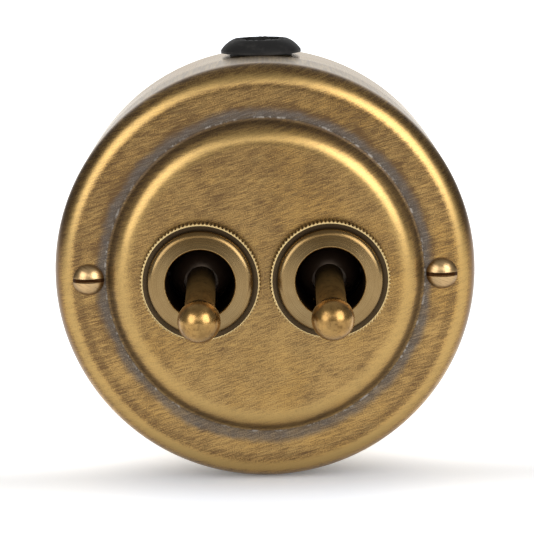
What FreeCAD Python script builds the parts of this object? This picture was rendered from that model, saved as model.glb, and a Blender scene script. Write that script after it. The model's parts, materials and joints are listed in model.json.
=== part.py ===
"""A two-gang brass dolly switch in a round surface case, as a parametric document.

Each piece is drawn with its +Y axis pointing out of the wall, then turned to face -Y with +Z up. The
origin is the middle of the case's wall face. Lengths are millimetres and angles are degrees.
"""
import FreeCAD, Part
import math
import os

import Sketcher

SIZES = {
    # Case: a spun cover that meets a back box of the same diameter
    "case_radius": 43.0,
    "sheet": 1.2,
    "box_depth": 20.0,
    "skirt_depth": 14.0,
    "back_round": 1.6,
    "lip_length": 3.0,
    "lip_clearance": 0.1,
    # Front of the cover, from the rim inwards
    "rim_round": 4.8,
    "crease_inset": 10.5,
    "crease_round": 1.0,
    "disc_step": 3.34,
    "shoulder_slope": 56.0,
    "shoulder_round": 5.0,
    # Wall fixing holes
    "fixing_spacing": 50.8,
    "fixing_hole_radius": 2.4,
    # Cover screws and the pillars that take them
    "screw_inset": 7.2,
    "screw_head_radius": 3.15,
    "screw_head_edge": 0.5,
    "screw_head_height": 2.2,
    "screw_slot_width": 0.86,
    "screw_slot_depth": 1.0,
    "screw_radius": 1.5,
    "screw_length": 12.0,
    "screw_clearance": 0.2,
    "thread_clearance": 0.04,
    "pillar_radius": 3.4,
    "pillar_nose_radius": 2.3,
    "pillar_nose_length": 1.8,
    "pillar_bore_depth": 14.0,
    "rivet_radius": 1.8,
    # Cable grommet in the top of the box wall
    "grommet_setback": 9.4,
    "grommet_flange_radius": 8.5,
    "grommet_edge": 0.5,
    "grommet_proud": 3.0,
    "grommet_top_radius": 5.4,
    "grommet_dome_radius": 6.0,
    "grommet_neck_radius": 6.6,
    "grommet_bore_radius": 4.0,
    "grommet_inner_radius": 8.0,
    "grommet_inner_drop": 1.0,
    "grommet_inner_thickness": 2.2,
    "grommet_clearance": 0.05,
    # Earth post on the back of the box
    "earth_inset": 8.17,
    "earth_down": 27.0,
    "earth_post_radius": 4.0,
    "earth_post_height": 8.0,
    "earth_wire_radius": 1.6,
    "earth_wire_height": 3.2,
    "earth_screw_radius": 1.75,
    "earth_head_radius": 2.8,
    "earth_head_height": 1.6,
    # Ring nuts, bushes and what clamps them to the cover
    "gang_pitch": 26.0,
    "ring_radius": 12.15,
    "ring_flange": 2.5,
    "ring_dish": 0.4,
    "ring_collar_radius": 10.65,
    "ring_height": 4.1,
    "ring_crown": 0.55,
    "ring_collar_round": 1.5,
    "ring_lip": 1.1,
    "ring_bore_radius": 7.0,
    "ring_bore_round": 0.25,
    "knurl_count": 94,
    "knurl_depth": 0.4,
    "knurl_notch_width": 1.36,
    "bush_radius": 9.0,
    "bush_bore_radius": 6.95,
    "bush_flange_radius": 10.4,
    "bush_flange": 1.0,
    "bush_hole_clearance": 0.1,
    "bush_end_gap": 0.1,
    "nut_across_flats": 22.0,
    "nut_thickness": 2.4,
    "nut_gap": 1.04,
    "washer_radius": 11.6,
    "washer_thickness": 0.8,
    "washer_teeth": 12,
    "washer_notch_depth": 1.1,
    "washer_notch_width": 1.6,
    # Folded steel yoke round each housing
    "yoke_plate": 1.2,
    "yoke_width": 21.6,
    "yoke_leg_length": 14.5,
    "yoke_leg_thickness": 1.0,
    "yoke_hook": 1.0,
    "yoke_clearance": 0.05,
    # Moulded housing
    "housing_width": 23.0,
    "housing_height": 34.0,
    "housing_depth": 22.5,
    "housing_corner": 1.5,
    "hub_room_width": 14.4,
    "hub_room_height": 19.0,
    "hub_room_depth": 10.5,
    "rocker_room_width": 9.4,
    "rocker_room_height": 28.4,
    "floor_thickness": 3.2,
    # Dolly, hub and pivot
    "pivot_setback": 9.14,
    "dolly_tilt": 11.2,
    "dolly_reach": 25.5,
    "ball_radius": 4.22,
    "ball_flat_radius": 1.2,
    "dolly_root_radius": 2.88,
    "dolly_neck_radius": 3.02,
    "dolly_stem_radius": 1.9,
    "dolly_stem_length": 2.0,
    "hub_radius": 6.5,
    "hub_recess_radius": 3.5,
    "hub_seat_reach": 4.0,
    "tail_radius": 3.2,
    "pin_radius": 1.25,
    "pin_length": 19.6,
    "pin_clearance": 0.05,
    # Spring and plunger in the tail
    "spring_seat": 2.6,
    "spring_length": 3.8,
    "spring_wire_radius": 0.22,
    "spring_coil_radius": 1.35,
    "spring_turns": 4,
    "plunger_radius": 1.85,
    "plunger_exposed": 1.8,
    "plunger_clearance": 0.06,
    "plunger_gap": 0.18,
    # Folded rocker and its contact buttons
    "rocker_tilt": 6.5,
    "rocker_fold": 10.0,
    "rocker_thickness": 1.0,
    "rocker_bend_radius": 0.5,
    "rocker_half_length": 9.0,
    "rocker_width": 6.0,
    "rocker_side_gap": 0.15,
    "rocker_under_gap": 0.3,
    "trunnion_radius": 0.8,
    "trunnion_length": 1.1,
    "trunnion_clearance": 0.05,
    "button_radius": 1.5,
    "button_height": 0.7,
    "button_across": 7.5,
    "contact_gap": 0.2,
    "fixed_contact_height": 1.1,
    # Terminals behind the housing
    "terminal_width": 5.6,
    "terminal_block_height": 6.0,
    "terminal_block_depth": 6.4,
    "terminal_strip": 1.2,
    "terminal_spacing": 13.4,
    "terminal_clearance": 0.05,
    "common_plate": 3.2,
    "common_cheek": 1.1,
    "wire_radius": 1.4,
    "wire_depth": 4.0,
    "clamp_screw_radius": 1.4,
    "clamp_head_radius": 2.3,
    "clamp_head_height": 1.4,
    "clamp_slot_width": 0.7,
    "clamp_slot_depth": 0.8,
}


class Size:
    """A number together with the sheet formula that gives it."""

    def __init__(self, value, formula):
        self.value = float(value)
        self.formula = formula

    def __add__(self, other):
        other = as_size(other)
        return Size(self.value + other.value, f"({self.formula} + {other.formula})")

    def __sub__(self, other):
        other = as_size(other)
        return Size(self.value - other.value, f"({self.formula} - {other.formula})")

    def __mul__(self, other):
        other = as_size(other)
        return Size(self.value * other.value, f"({self.formula} * {other.formula})")

    def __truediv__(self, other):
        other = as_size(other)
        return Size(self.value / other.value, f"({self.formula} / {other.formula})")

    def __neg__(self):
        return Size(-self.value, f"(0 - {self.formula})")

    def root(self):
        return Size(math.sqrt(self.value), f"sqrt({self.formula})")

    def cosine(self):
        return Size(math.cos(math.radians(self.value)), f"cos({self.formula})")

    def sine(self):
        return Size(math.sin(math.radians(self.value)), f"sin({self.formula})")

    def tangent(self):
        return Size(math.tan(math.radians(self.value)), f"tan({self.formula})")


def as_size(number):
    return number if isinstance(number, Size) else Size(number, repr(number))


def leg(hypotenuse, side):
    """The other short side of a right triangle."""
    return (hypotenuse * hypotenuse - side * side).root()


doc = FreeCAD.newDocument("dolly_switch")
sheet = doc.addObject("Spreadsheet::Sheet", "sizes")
size = {}
for row, (alias, number) in enumerate(SIZES.items(), 1):
    sheet.set(f"A{row}", alias)
    sheet.set(f"B{row}", str(number))
    sheet.setAlias(f"B{row}", alias)
    size[alias] = Size(number, f"sizes.{alias}")
doc.recompute()

ZERO = as_size(0)
HALF_TURN = 180.0
FULL_TURN = 360.0
HEXAGON_HALF_ANGLE = as_size(30)
nodes = []


# Sketches and features

def bind(item, path, amount):
    item.setExpression(path, amount.formula)


def new_body(label):
    body = doc.addObject("PartDesign::Body", label)
    body.Label = label
    return body


def new_sketch(body, name, plane):
    sketch = body.newObject("Sketcher::SketchObject", name)
    support = [part for part in body.Origin.OriginFeatures if part.Role == plane][0]
    sketch.AttachmentSupport = (support, [""])
    sketch.MapMode = "FlatFace"
    return sketch


def hold(sketch, kind, line, end, amount):
    """Fixes one coordinate of a point, measured from the sketch's origin."""
    if amount.value == 0:
        axis = -2 if kind == "DistanceX" else -1
        sketch.addConstraint(Sketcher.Constraint("PointOnObject", line, end, axis))
        return
    if amount.value > 0:
        index = sketch.addConstraint(Sketcher.Constraint(kind, -1, 1, line, end, amount.value))
    else:
        amount = -amount
        index = sketch.addConstraint(Sketcher.Constraint(kind, line, end, -1, 1, amount.value))
    bind(sketch, f"Constraints[{index}]", amount)


def hold_radius(sketch, arc, radius):
    index = sketch.addConstraint(Sketcher.Constraint("Radius", arc, radius.value))
    bind(sketch, f"Constraints[{index}]", radius)


def arc_between(start, end, radius, left):
    """The short arc from start to end that turns left or right, and which of its ends comes first."""
    chord = end - start
    across = FreeCAD.Vector(-chord.y, chord.x, 0).normalize()
    rise = math.sqrt(max(radius ** 2 - (chord.Length / 2) ** 2, 0))
    centre = (start + end) * 0.5 + across * (rise if left else -rise)
    first, last = (start, end) if left else (end, start)
    angles = [math.atan2(point.y - centre.y, point.x - centre.x) for point in (first, last)]
    if angles[1] < angles[0]:
        angles[1] += 2 * math.pi
    circle = Part.Circle(centre, FreeCAD.Vector(0, 0, 1), radius)
    return Part.ArcOfCircle(circle, *angles), (1, 2) if left else (2, 1)


def outline(body, name, plane, corners):
    """A closed sketch through (across, along) corners.

    A third entry may round the corner with ("round", radius), or bend the run that leaves it with
    ("left", radius) or ("right", radius).
    """
    sketch = new_sketch(body, name, plane)
    across = [as_size(corner[0]) for corner in corners]
    along = [as_size(corner[1]) for corner in corners]
    forms = [corner[2] if len(corner) > 2 else ("plain", ZERO) for corner in corners]
    points = [FreeCAD.Vector(x.value, y.value, 0) for x, y in zip(across, along)]
    entries = list(points)
    exits = list(points)
    for i, (form, radius) in enumerate(forms):
        if form != "round":
            continue
        back = (points[i - 1] - points[i]).normalize()
        onward = (points[(i + 1) % len(points)] - points[i]).normalize()
        setback = radius.value / math.tan(back.getAngle(onward) / 2)
        entries[i] = points[i] + back * setback
        exits[i] = points[i] + onward * setback
    ends = []
    for i, (form, radius) in enumerate(forms):
        finish = entries[(i + 1) % len(points)]
        if form in ("left", "right"):
            run, order = arc_between(exits[i], finish, radius.value, form == "left")
        else:
            run, order = Part.LineSegment(exits[i], finish), (1, 2)
        ends.append((sketch.addGeometry(run, False), order))
        if form in ("left", "right"):
            hold_radius(sketch, ends[i][0], radius)
    for i, (form, radius) in enumerate(forms):
        before, (_, before_end) = ends[i - 1]
        after, (after_end, _) = ends[i]
        if form == "round":
            turn = (points[i] - points[i - 1]).cross(points[(i + 1) % len(points)] - points[i]).z
            arc, order = arc_between(entries[i], exits[i], radius.value, turn > 0)
            arc = sketch.addGeometry(arc, False)
            corner = sketch.addGeometry(Part.Point(points[i]), True)
            sketch.addConstraint(Sketcher.Constraint("Tangent", before, before_end, arc, order[0]))
            sketch.addConstraint(Sketcher.Constraint("Tangent", arc, order[1], after, after_end))
            sketch.addConstraint(Sketcher.Constraint("PointOnObject", corner, 1, before))
            sketch.addConstraint(Sketcher.Constraint("PointOnObject", corner, 1, after))
            hold_radius(sketch, arc, radius)
            held, held_end = corner, 1
        else:
            sketch.addConstraint(Sketcher.Constraint("Coincident", before, before_end, after, after_end))
            held, held_end = after, after_end
        hold(sketch, "DistanceX", held, held_end, across[i])
        hold(sketch, "DistanceY", held, held_end, along[i])
    return sketch


def rounds(body, name, plane, circles):
    """A sketch of whole circles, each (across, along, radius)."""
    sketch = new_sketch(body, name, plane)
    for across, along, radius in circles:
        across, along = as_size(across), as_size(along)
        centre = FreeCAD.Vector(across.value, along.value, 0)
        circle = sketch.addGeometry(Part.Circle(centre, FreeCAD.Vector(0, 0, 1), radius.value), False)
        hold_radius(sketch, circle, radius)
        hold(sketch, "DistanceX", circle, 3, across)
        hold(sketch, "DistanceY", circle, 3, along)
    return sketch


def box_outline(body, name, plane, low, high, corner=None):
    """A rectangle from its low to its high corner, with rounded corners if a radius is given."""
    spots = [(low[0], low[1]), (high[0], low[1]), (high[0], high[1]), (low[0], high[1])]
    if corner is not None:
        spots = [spot + (("round", corner),) for spot in spots]
    return outline(body, name, plane, spots)


def revolve(body, sketch):
    feature = body.newObject("PartDesign::Revolution", sketch.Name + "_turned")
    feature.Profile = sketch
    feature.ReferenceAxis = (sketch, ["V_Axis"])
    feature.Angle = FULL_TURN
    return feature


def pad(body, sketch, length, both_ways=False, reverse=False):
    """Extrudes along +X, +Y or +Z of the body, against it if reversed, or half each way."""
    feature = body.newObject("PartDesign::Pad", sketch.Name + "_pad")
    feature.Profile = sketch
    feature.Length = length.value
    bind(feature, "Length", length)
    feature.Midplane = both_ways
    support = sketch.AttachmentSupport[0][0]
    feature.Reversed = (support.Role == "XZ_Plane") != reverse and not both_ways
    return feature


def cut(body, sketch, depth=None, both_ways=False, reverse=False):
    """Cuts the sketch right through, or to a depth on one side of its plane, or half each way."""
    feature = body.newObject("PartDesign::Pocket", sketch.Name + "_cut")
    feature.Profile = sketch
    feature.Midplane = depth is None or both_ways
    feature.Reversed = reverse
    if depth is None:
        feature.Type = "ThroughAll"
    else:
        feature.Length = depth.value
        bind(feature, "Length", depth)
    return feature


def around(body, feature, count):
    """Repeats a cut evenly round the body's Y axis."""
    pattern = body.newObject("PartDesign::PolarPattern", feature.Name + "_pattern")
    pattern.Originals = [feature]
    axis = [part for part in body.Origin.OriginFeatures if part.Role == "Y_Axis"][0]
    pattern.Axis = (axis, [""])
    pattern.Angle = FULL_TURN
    pattern.Occurrences = int(count.value)
    bind(pattern, "Occurrences", count)
    body.Tip = pattern
    return pattern


def place(item, across=ZERO, out=ZERO, up=ZERO, tilt=ZERO):
    """Turns a piece to face the viewer and sets it at its place on the case."""
    spot = f"vector({across.formula}; {(-out).formula}; {up.formula})"
    turn = f"rotation({HALF_TURN}; 0; {tilt.formula})"
    item.setExpression("Placement", f"placement({spot}; {turn})")
    return item


def mirrored(source, normal):
    copy = doc.addObject("Part::Mirroring", source.Name + "_mirrored")
    copy.Source = source
    copy.Normal = normal
    return copy


def group(label, members):
    compound = doc.addObject("Part::Compound", label)
    compound.Label = label
    compound.Links = members
    return keep(compound)


def keep(item):
    nodes.append(item)
    return item


# Levels measured out from the wall

rim_out = size["box_depth"] + size["skirt_depth"]
flat_out = rim_out + size["rim_round"]
disc_out = flat_out + size["disc_step"]
disc_back = disc_out - size["sheet"]
inner_radius = size["case_radius"] - size["sheet"]
half_pitch = size["gang_pitch"] / 2
half_screws = size["case_radius"] - size["screw_inset"]
half_fixings = size["fixing_spacing"] / 2
earth_across = leg(size["case_radius"] - size["earth_inset"], size["earth_down"])
grommet_out = size["box_depth"] - size["grommet_setback"]
flange_front = disc_back - size["washer_thickness"] - size["nut_thickness"] - size["nut_gap"]
yoke_front = flange_front - size["bush_flange"]
housing_front = yoke_front - size["yoke_plate"]
housing_back = housing_front - size["housing_depth"]
floor_out = housing_back + size["floor_thickness"]
strip_front = floor_out + size["terminal_strip"]
pivot_out = disc_out - size["pivot_setback"]
stem_start = size["hub_seat_reach"] - size["dolly_stem_length"]

# The closed contact button's face, measured from the rocker's axis

rocker_outer_bend = size["rocker_bend_radius"] + size["rocker_thickness"]
button_depth = rocker_outer_bend + size["button_height"]
button_along = (size["button_across"] * size["rocker_fold"].cosine()
                + button_depth * size["rocker_fold"].sine())
button_drop = (button_depth * size["rocker_fold"].cosine()
               - size["button_across"] * size["rocker_fold"].sine())
button_up = button_along * size["rocker_tilt"].cosine() - button_drop * size["rocker_tilt"].sine()
button_back = button_along * size["rocker_tilt"].sine() + button_drop * size["rocker_tilt"].cosine()

# The rocker stands on its contacts, and the plunger reaches from the pivot to the rocker

rocker_out = strip_front + size["fixed_contact_height"] + size["contact_gap"] + button_back
plunger_reach = (pivot_out - rocker_out
                 - (size["plunger_radius"] + size["plunger_gap"] - size["rocker_bend_radius"])
                 / size["rocker_fold"].cosine())
tail_reach = plunger_reach - size["plunger_exposed"]
rocker_channel = size["rocker_width"] + size["rocker_side_gap"] * 2
common_width = rocker_channel + size["common_cheek"] * 2


# Case

def back_box():
    body = new_body("back_box")
    lip_outer = inner_radius - size["lip_clearance"]
    lip_inner = lip_outer - size["sheet"]
    lip_start = size["box_depth"] - size["sheet"]
    revolve(body, outline(body, "box_section", "XY_Plane", [
        (0, 0),
        (size["case_radius"], 0, ("round", size["back_round"])),
        (size["case_radius"], size["box_depth"]),
        (lip_outer, size["box_depth"]),
        (lip_outer, size["box_depth"] + size["lip_length"]),
        (lip_inner, size["box_depth"] + size["lip_length"]),
        (lip_inner, lip_start),
        (inner_radius, lip_start),
        (inner_radius, size["sheet"]),
        (0, size["sheet"]),
    ]))
    rivet_hole = size["rivet_radius"] + size["thread_clearance"]
    cut(body, rounds(body, "box_holes", "XZ_Plane", [
        (0, half_fixings, size["fixing_hole_radius"]),
        (0, -half_fixings, size["fixing_hole_radius"]),
        (half_screws, 0, rivet_hole),
        (-half_screws, 0, rivet_hole),
        (earth_across, -size["earth_down"], rivet_hole),
    ]))
    cable_hole = size["grommet_neck_radius"] + size["grommet_clearance"]
    cut(body, rounds(body, "cable_hole", "XY_Plane", [(0, grommet_out, cable_hole)]),
        size["case_radius"] * 2, reverse=True)
    return keep(place(body))


def front_cover():
    """The spun cover: a skirt, a rounded rim, a flat and a disc raised on a sloping shoulder."""
    body = new_body("front_cover")
    wall = size["sheet"]
    bisector = (size["shoulder_slope"] / 2).tangent()
    foot = size["case_radius"] - size["crease_inset"] - size["crease_round"] * bisector
    shoulder = foot - size["disc_step"] / size["shoulder_slope"].tangent()
    inset = wall * bisector
    revolve(body, outline(body, "cover_section", "XY_Plane", [
        (0, disc_out),
        (shoulder, disc_out, ("round", size["shoulder_round"])),
        (foot, flat_out, ("round", size["crease_round"])),
        (size["case_radius"], flat_out, ("round", size["rim_round"])),
        (size["case_radius"], size["box_depth"]),
        (inner_radius, size["box_depth"]),
        (inner_radius, flat_out - wall, ("round", size["rim_round"] - wall)),
        (foot - inset, flat_out - wall, ("round", size["crease_round"] + wall)),
        (shoulder - inset, disc_back, ("round", size["shoulder_round"] - wall)),
        (0, disc_back),
    ]))
    bush_hole = size["bush_radius"] + size["bush_hole_clearance"]
    screw_hole = size["screw_radius"] + size["screw_clearance"]
    cut(body, rounds(body, "cover_holes", "XZ_Plane", [
        (half_pitch, 0, bush_hole),
        (-half_pitch, 0, bush_hole),
        (half_screws, 0, screw_hole),
        (-half_screws, 0, screw_hole),
    ]))
    return keep(place(body))


def domed_screw(label, head, edge, height, shank, length, slot_width, slot_depth):
    """A slotted round-head screw on the Y axis with its seat at the origin."""
    body = new_body(label)
    rise = height - edge
    dome = (head * head + rise * rise) / (rise * 2)
    revolve(body, outline(body, label + "_section", "XY_Plane", [
        (0, -length),
        (shank, -length),
        (shank, 0),
        (head, 0),
        (head, edge, ("left", dome)),
        (0, height),
    ]))
    cut(body, box_outline(body, label + "_slot", "YZ_Plane",
                          (height - slot_depth, -slot_width / 2), (height + slot_depth, slot_width / 2)))
    return body


def cover_screws():
    screw = domed_screw("cover_screw", size["screw_head_radius"], size["screw_head_edge"],
                        size["screw_head_height"], size["screw_radius"], size["screw_length"],
                        size["screw_slot_width"], size["screw_slot_depth"])
    place(screw, half_screws, flat_out)
    group("cover_screws", [screw, mirrored(screw, FreeCAD.Vector(1, 0, 0))])


def cover_pillars():
    body = new_body("cover_pillar")
    tapped = size["screw_radius"] + size["thread_clearance"]
    top = flat_out - size["sheet"]
    revolve(body, outline(body, "pillar_section", "XY_Plane", [
        (0, 0),
        (size["rivet_radius"], 0),
        (size["rivet_radius"], size["sheet"]),
        (size["pillar_radius"], size["sheet"]),
        (size["pillar_radius"], top - size["pillar_nose_length"]),
        (size["pillar_nose_radius"], top - size["pillar_nose_length"]),
        (size["pillar_nose_radius"], top),
        (tapped, top),
        (tapped, top - size["pillar_bore_depth"]),
        (0, top - size["pillar_bore_depth"]),
    ]))
    place(body, half_screws)
    group("cover_pillars", [body, mirrored(body, FreeCAD.Vector(1, 0, 0))])


def cable_grommet():
    """Turned about Z. Its inner flange hangs below the curved wall."""
    body = new_body("cable_grommet")
    seat = size["case_radius"] + size["grommet_clearance"]
    top = size["case_radius"] + size["grommet_proud"]
    inner_top = inner_radius - size["grommet_inner_drop"]
    inner_bottom = inner_top - size["grommet_inner_thickness"]
    revolve(body, outline(body, "grommet_section", "XZ_Plane", [
        (size["grommet_bore_radius"], inner_bottom),
        (size["grommet_inner_radius"], inner_bottom),
        (size["grommet_inner_radius"], inner_top),
        (size["grommet_neck_radius"], inner_top),
        (size["grommet_neck_radius"], seat),
        (size["grommet_flange_radius"], seat),
        (size["grommet_flange_radius"], seat + size["grommet_edge"], ("left", size["grommet_dome_radius"])),
        (size["grommet_top_radius"], top),
        (size["grommet_bore_radius"], top),
    ]))
    return keep(place(body, out=grommet_out))


def earth_terminal():
    body = new_body("earth_terminal")
    tapped = size["earth_screw_radius"] + size["thread_clearance"]
    top = size["sheet"] + size["earth_post_height"]
    wire_out = size["sheet"] + size["earth_wire_height"]
    revolve(body, outline(body, "earth_section", "XY_Plane", [
        (0, 0),
        (size["rivet_radius"], 0),
        (size["rivet_radius"], size["sheet"]),
        (size["earth_post_radius"], size["sheet"]),
        (size["earth_post_radius"], top),
        (tapped, top),
        (tapped, wire_out),
        (0, wire_out),
    ]))
    cut(body, rounds(body, "earth_wire_hole", "YZ_Plane", [(wire_out, 0, size["earth_wire_radius"])]))
    keep(place(body, -earth_across, ZERO, -size["earth_down"]))
    screw = domed_screw("earth_screw", size["earth_head_radius"], size["screw_head_edge"],
                        size["earth_head_height"], size["earth_screw_radius"],
                        size["earth_post_height"] - size["earth_wire_height"],
                        size["clamp_slot_width"], size["clamp_slot_depth"])
    keep(place(screw, -earth_across, top, -size["earth_down"]))


# Front fixings of one gang

def ring_nut(side, across):
    """A knurled cap nut with a crowned collar, whose front lip hides the end of the bush."""
    body = new_body(side + "_ring_nut")
    thread = size["bush_radius"] + size["thread_clearance"]
    lip_back = size["ring_height"] - size["ring_lip"]
    revolve(body, outline(body, side + "_ring_section", "XY_Plane", [
        (thread, 0),
        (size["ring_radius"], 0),
        (size["ring_radius"], size["ring_flange"]),
        (size["ring_collar_radius"], size["ring_flange"] - size["ring_dish"]),
        (size["ring_collar_radius"], size["ring_height"] - size["ring_crown"],
         ("round", size["ring_collar_round"])),
        (size["ring_bore_radius"], size["ring_height"], ("round", size["ring_bore_round"])),
        (size["ring_bore_radius"], lip_back),
        (thread, lip_back),
    ]))
    root = size["ring_radius"] - size["knurl_depth"]
    tip = size["ring_radius"] + size["knurl_depth"]
    half_notch = size["knurl_notch_width"] / 2
    notch = cut(body, outline(body, side + "_knurl_notch", "XZ_Plane", [
        (root, 0), (tip, -half_notch), (tip, half_notch)]))
    around(body, notch, size["knurl_count"])
    return keep(place(body, across, disc_out))


def bush(side, across):
    body = new_body(side + "_bush")
    end = disc_out + size["ring_height"] - size["ring_lip"] - size["bush_end_gap"]
    revolve(body, outline(body, side + "_bush_section", "XY_Plane", [
        (size["bush_bore_radius"], housing_front),
        (size["bush_radius"], housing_front),
        (size["bush_radius"], yoke_front),
        (size["bush_flange_radius"], yoke_front),
        (size["bush_flange_radius"], flange_front),
        (size["bush_radius"], flange_front),
        (size["bush_radius"], end),
        (size["bush_bore_radius"], end),
    ]))
    return keep(place(body, across))


def back_nut(side, across):
    """A hexagon nut behind the cover, with flats towards its neighbour."""
    body = new_body(side + "_back_nut")
    flat = size["nut_across_flats"] / 2
    corner = flat * HEXAGON_HALF_ANGLE.tangent()
    peak = corner * 2
    pad(body, outline(body, side + "_nut_outline", "XZ_Plane", [
        (flat, corner), (0, peak), (-flat, corner), (-flat, -corner), (0, -peak), (flat, -corner)]),
        size["nut_thickness"])
    thread = size["bush_radius"] + size["thread_clearance"]
    cut(body, rounds(body, side + "_nut_thread", "XZ_Plane", [(0, 0, thread)]))
    return keep(place(body, across, disc_back - size["washer_thickness"] - size["nut_thickness"]))


def lock_washer(side, across):
    body = new_body(side + "_lock_washer")
    hole = size["bush_radius"] + size["bush_hole_clearance"]
    revolve(body, outline(body, side + "_washer_section", "XY_Plane", [
        (hole, 0),
        (size["washer_radius"], 0),
        (size["washer_radius"], size["washer_thickness"]),
        (hole, size["washer_thickness"]),
    ]))
    notch = cut(body, box_outline(
        body, side + "_washer_notch", "XZ_Plane",
        (size["washer_radius"] - size["washer_notch_depth"], -size["washer_notch_width"] / 2),
        (size["washer_radius"] + size["washer_notch_depth"], size["washer_notch_width"] / 2)))
    around(body, notch, size["washer_teeth"])
    return keep(place(body, across, disc_back - size["washer_thickness"]))


def yoke(side, across):
    """A folded strap: a plate across the front of the housing and two hooked legs."""
    body = new_body(side + "_yoke")
    inside = size["housing_height"] / 2 + size["yoke_clearance"]
    outside = inside + size["yoke_leg_thickness"]
    foot = yoke_front - size["yoke_leg_length"]
    hook_top = foot + size["yoke_leg_thickness"]
    hook_tip = inside - size["yoke_hook"]
    pad(body, outline(body, side + "_yoke_fold", "YZ_Plane", [
        (yoke_front, -outside),
        (yoke_front, outside),
        (foot, outside),
        (foot, hook_tip),
        (hook_top, hook_tip),
        (hook_top, inside),
        (housing_front, inside),
        (housing_front, -inside),
        (hook_top, -inside),
        (hook_top, -hook_tip),
        (foot, -hook_tip),
        (foot, -outside),
    ]), size["yoke_width"], both_ways=True)
    hole = size["bush_radius"] + size["thread_clearance"]
    cut(body, rounds(body, side + "_yoke_hole", "XZ_Plane", [(0, 0, hole)]))
    return keep(place(body, across))


# Housing and terminals of one gang

def switch_housing(side, across):
    """A moulded block with a room for the hub, a narrower one for the rocker, and terminal slots."""
    body = new_body(side + "_switch_housing")
    half_width = size["housing_width"] / 2
    half_height = size["housing_height"] / 2
    pad(body, box_outline(body, side + "_housing_outline", "XZ_Plane", (-half_width, -half_height),
                          (half_width, half_height), size["housing_corner"]), size["housing_depth"])
    front = size["housing_depth"]
    room_floor = front - size["hub_room_depth"]
    half_hub = size["hub_room_height"] / 2
    cut(body, box_outline(body, side + "_hub_room", "YZ_Plane", (room_floor, -half_hub),
                          (front * 2, half_hub)), size["hub_room_width"], both_ways=True)
    half_rocker = size["rocker_room_height"] / 2
    cut(body, box_outline(body, side + "_rocker_room", "YZ_Plane", (size["floor_thickness"], -half_rocker),
                          (front * 2, half_rocker)), size["rocker_room_width"], both_ways=True)
    pin_level = pivot_out - housing_back
    seat = size["pin_radius"] + size["thread_clearance"]
    cut(body, outline(body, side + "_pin_slot", "YZ_Plane", [
        (front * 2, -seat),
        (front * 2, seat),
        (pin_level, seat, ("left", seat)),
        (pin_level - seat, 0, ("left", seat)),
        (pin_level, -seat),
    ]), size["pin_length"] + size["pin_clearance"] * 2, both_ways=True)
    strip = size["terminal_strip"] / 2 + size["terminal_clearance"]
    post = size["common_plate"] / 2 + size["terminal_clearance"]
    way_width = size["terminal_width"]
    for name, middle, half, width in (("upper", size["terminal_spacing"], strip, way_width),
                                      ("middle", ZERO, post, common_width),
                                      ("lower", -size["terminal_spacing"], strip, way_width)):
        cut(body, box_outline(body, f"{side}_{name}_slot", "YZ_Plane", (-front, middle - half),
                              (front / 2, middle + half)),
            width + size["terminal_clearance"] * 2, both_ways=True)
    foot = yoke_front - size["yoke_leg_length"] - housing_back
    notch_room = size["yoke_clearance"]
    hook_tip = half_height - size["yoke_hook"]
    for name, low, high in (("upper", hook_tip, half_height * 2), ("lower", -half_height * 2, -hook_tip)):
        cut(body, box_outline(body, f"{side}_{name}_notch", "YZ_Plane", (foot - notch_room, low),
                              (foot + size["yoke_leg_thickness"] + notch_room, high)))
    return keep(place(body, across, housing_back))


def pivot_pin(side, across):
    body = new_body(side + "_pivot_pin")
    pad(body, rounds(body, side + "_pin_section", "YZ_Plane", [(0, 0, size["pin_radius"])]),
        size["pin_length"], both_ways=True)
    return keep(place(body, across, pivot_out))


def terminal_block(body, side, name, middle):
    """Cuts the wire hole and the clamp screw's hole in a terminal block."""
    block_back = housing_back - size["terminal_block_depth"]
    wire_out = block_back + size["wire_depth"]
    tapped = size["clamp_screw_radius"] + size["thread_clearance"]
    cut(body, rounds(body, f"{side}_{name}_wire", "YZ_Plane", [(wire_out, middle, size["wire_radius"])]))
    cut(body, rounds(body, f"{side}_{name}_tapping", "XZ_Plane", [(0, middle, tapped)]),
        wire_out)


def way_terminal(side, across, name, sign):
    """A folded brass contact strip with its terminal block behind the housing."""
    body = new_body(f"{side}_{name}_terminal")
    middle = size["terminal_spacing"] * sign
    half_strip = size["terminal_strip"] / 2 * sign
    half_block = size["terminal_block_height"] / 2 * sign
    tip = (button_up - size["button_radius"]) * sign
    block_back = housing_back - size["terminal_block_depth"]
    pad(body, outline(body, f"{side}_{name}_fold", "YZ_Plane", [
        (strip_front, tip),
        (strip_front, middle + half_strip),
        (housing_back, middle + half_strip),
        (housing_back, middle + half_block),
        (block_back, middle + half_block),
        (block_back, middle - half_block),
        (housing_back, middle - half_block),
        (housing_back, middle - half_strip),
        (floor_out, middle - half_strip),
        (floor_out, tip),
    ]), size["terminal_width"], both_ways=True)
    terminal_block(body, side, name, middle)
    return keep(place(body, across))


def common_terminal(side, across):
    """The middle terminal: a forked plate whose two cheeks carry the rocker's trunnions."""
    body = new_body(side + "_common_terminal")
    half_plate = size["common_plate"] / 2
    half_block = size["terminal_block_height"] / 2
    block_back = housing_back - size["terminal_block_depth"]
    pad(body, outline(body, side + "_common_fold", "YZ_Plane", [
        (rocker_out, -half_plate),
        (rocker_out, half_plate),
        (housing_back, half_plate),
        (housing_back, half_block),
        (block_back, half_block),
        (block_back, -half_block),
        (housing_back, -half_block),
        (housing_back, -half_plate),
    ]), common_width, both_ways=True)
    channel_floor = rocker_out - rocker_outer_bend - size["rocker_under_gap"]
    cut(body, box_outline(body, side + "_common_channel", "XY_Plane", (-rocker_channel / 2, channel_floor),
                          (rocker_channel / 2, rocker_out * 2)))
    notch = size["trunnion_radius"] + size["trunnion_clearance"]
    cut(body, rounds(body, side + "_common_notches", "YZ_Plane", [(rocker_out, 0, notch)]))
    terminal_block(body, side, "common", ZERO)
    return keep(place(body, across))


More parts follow.
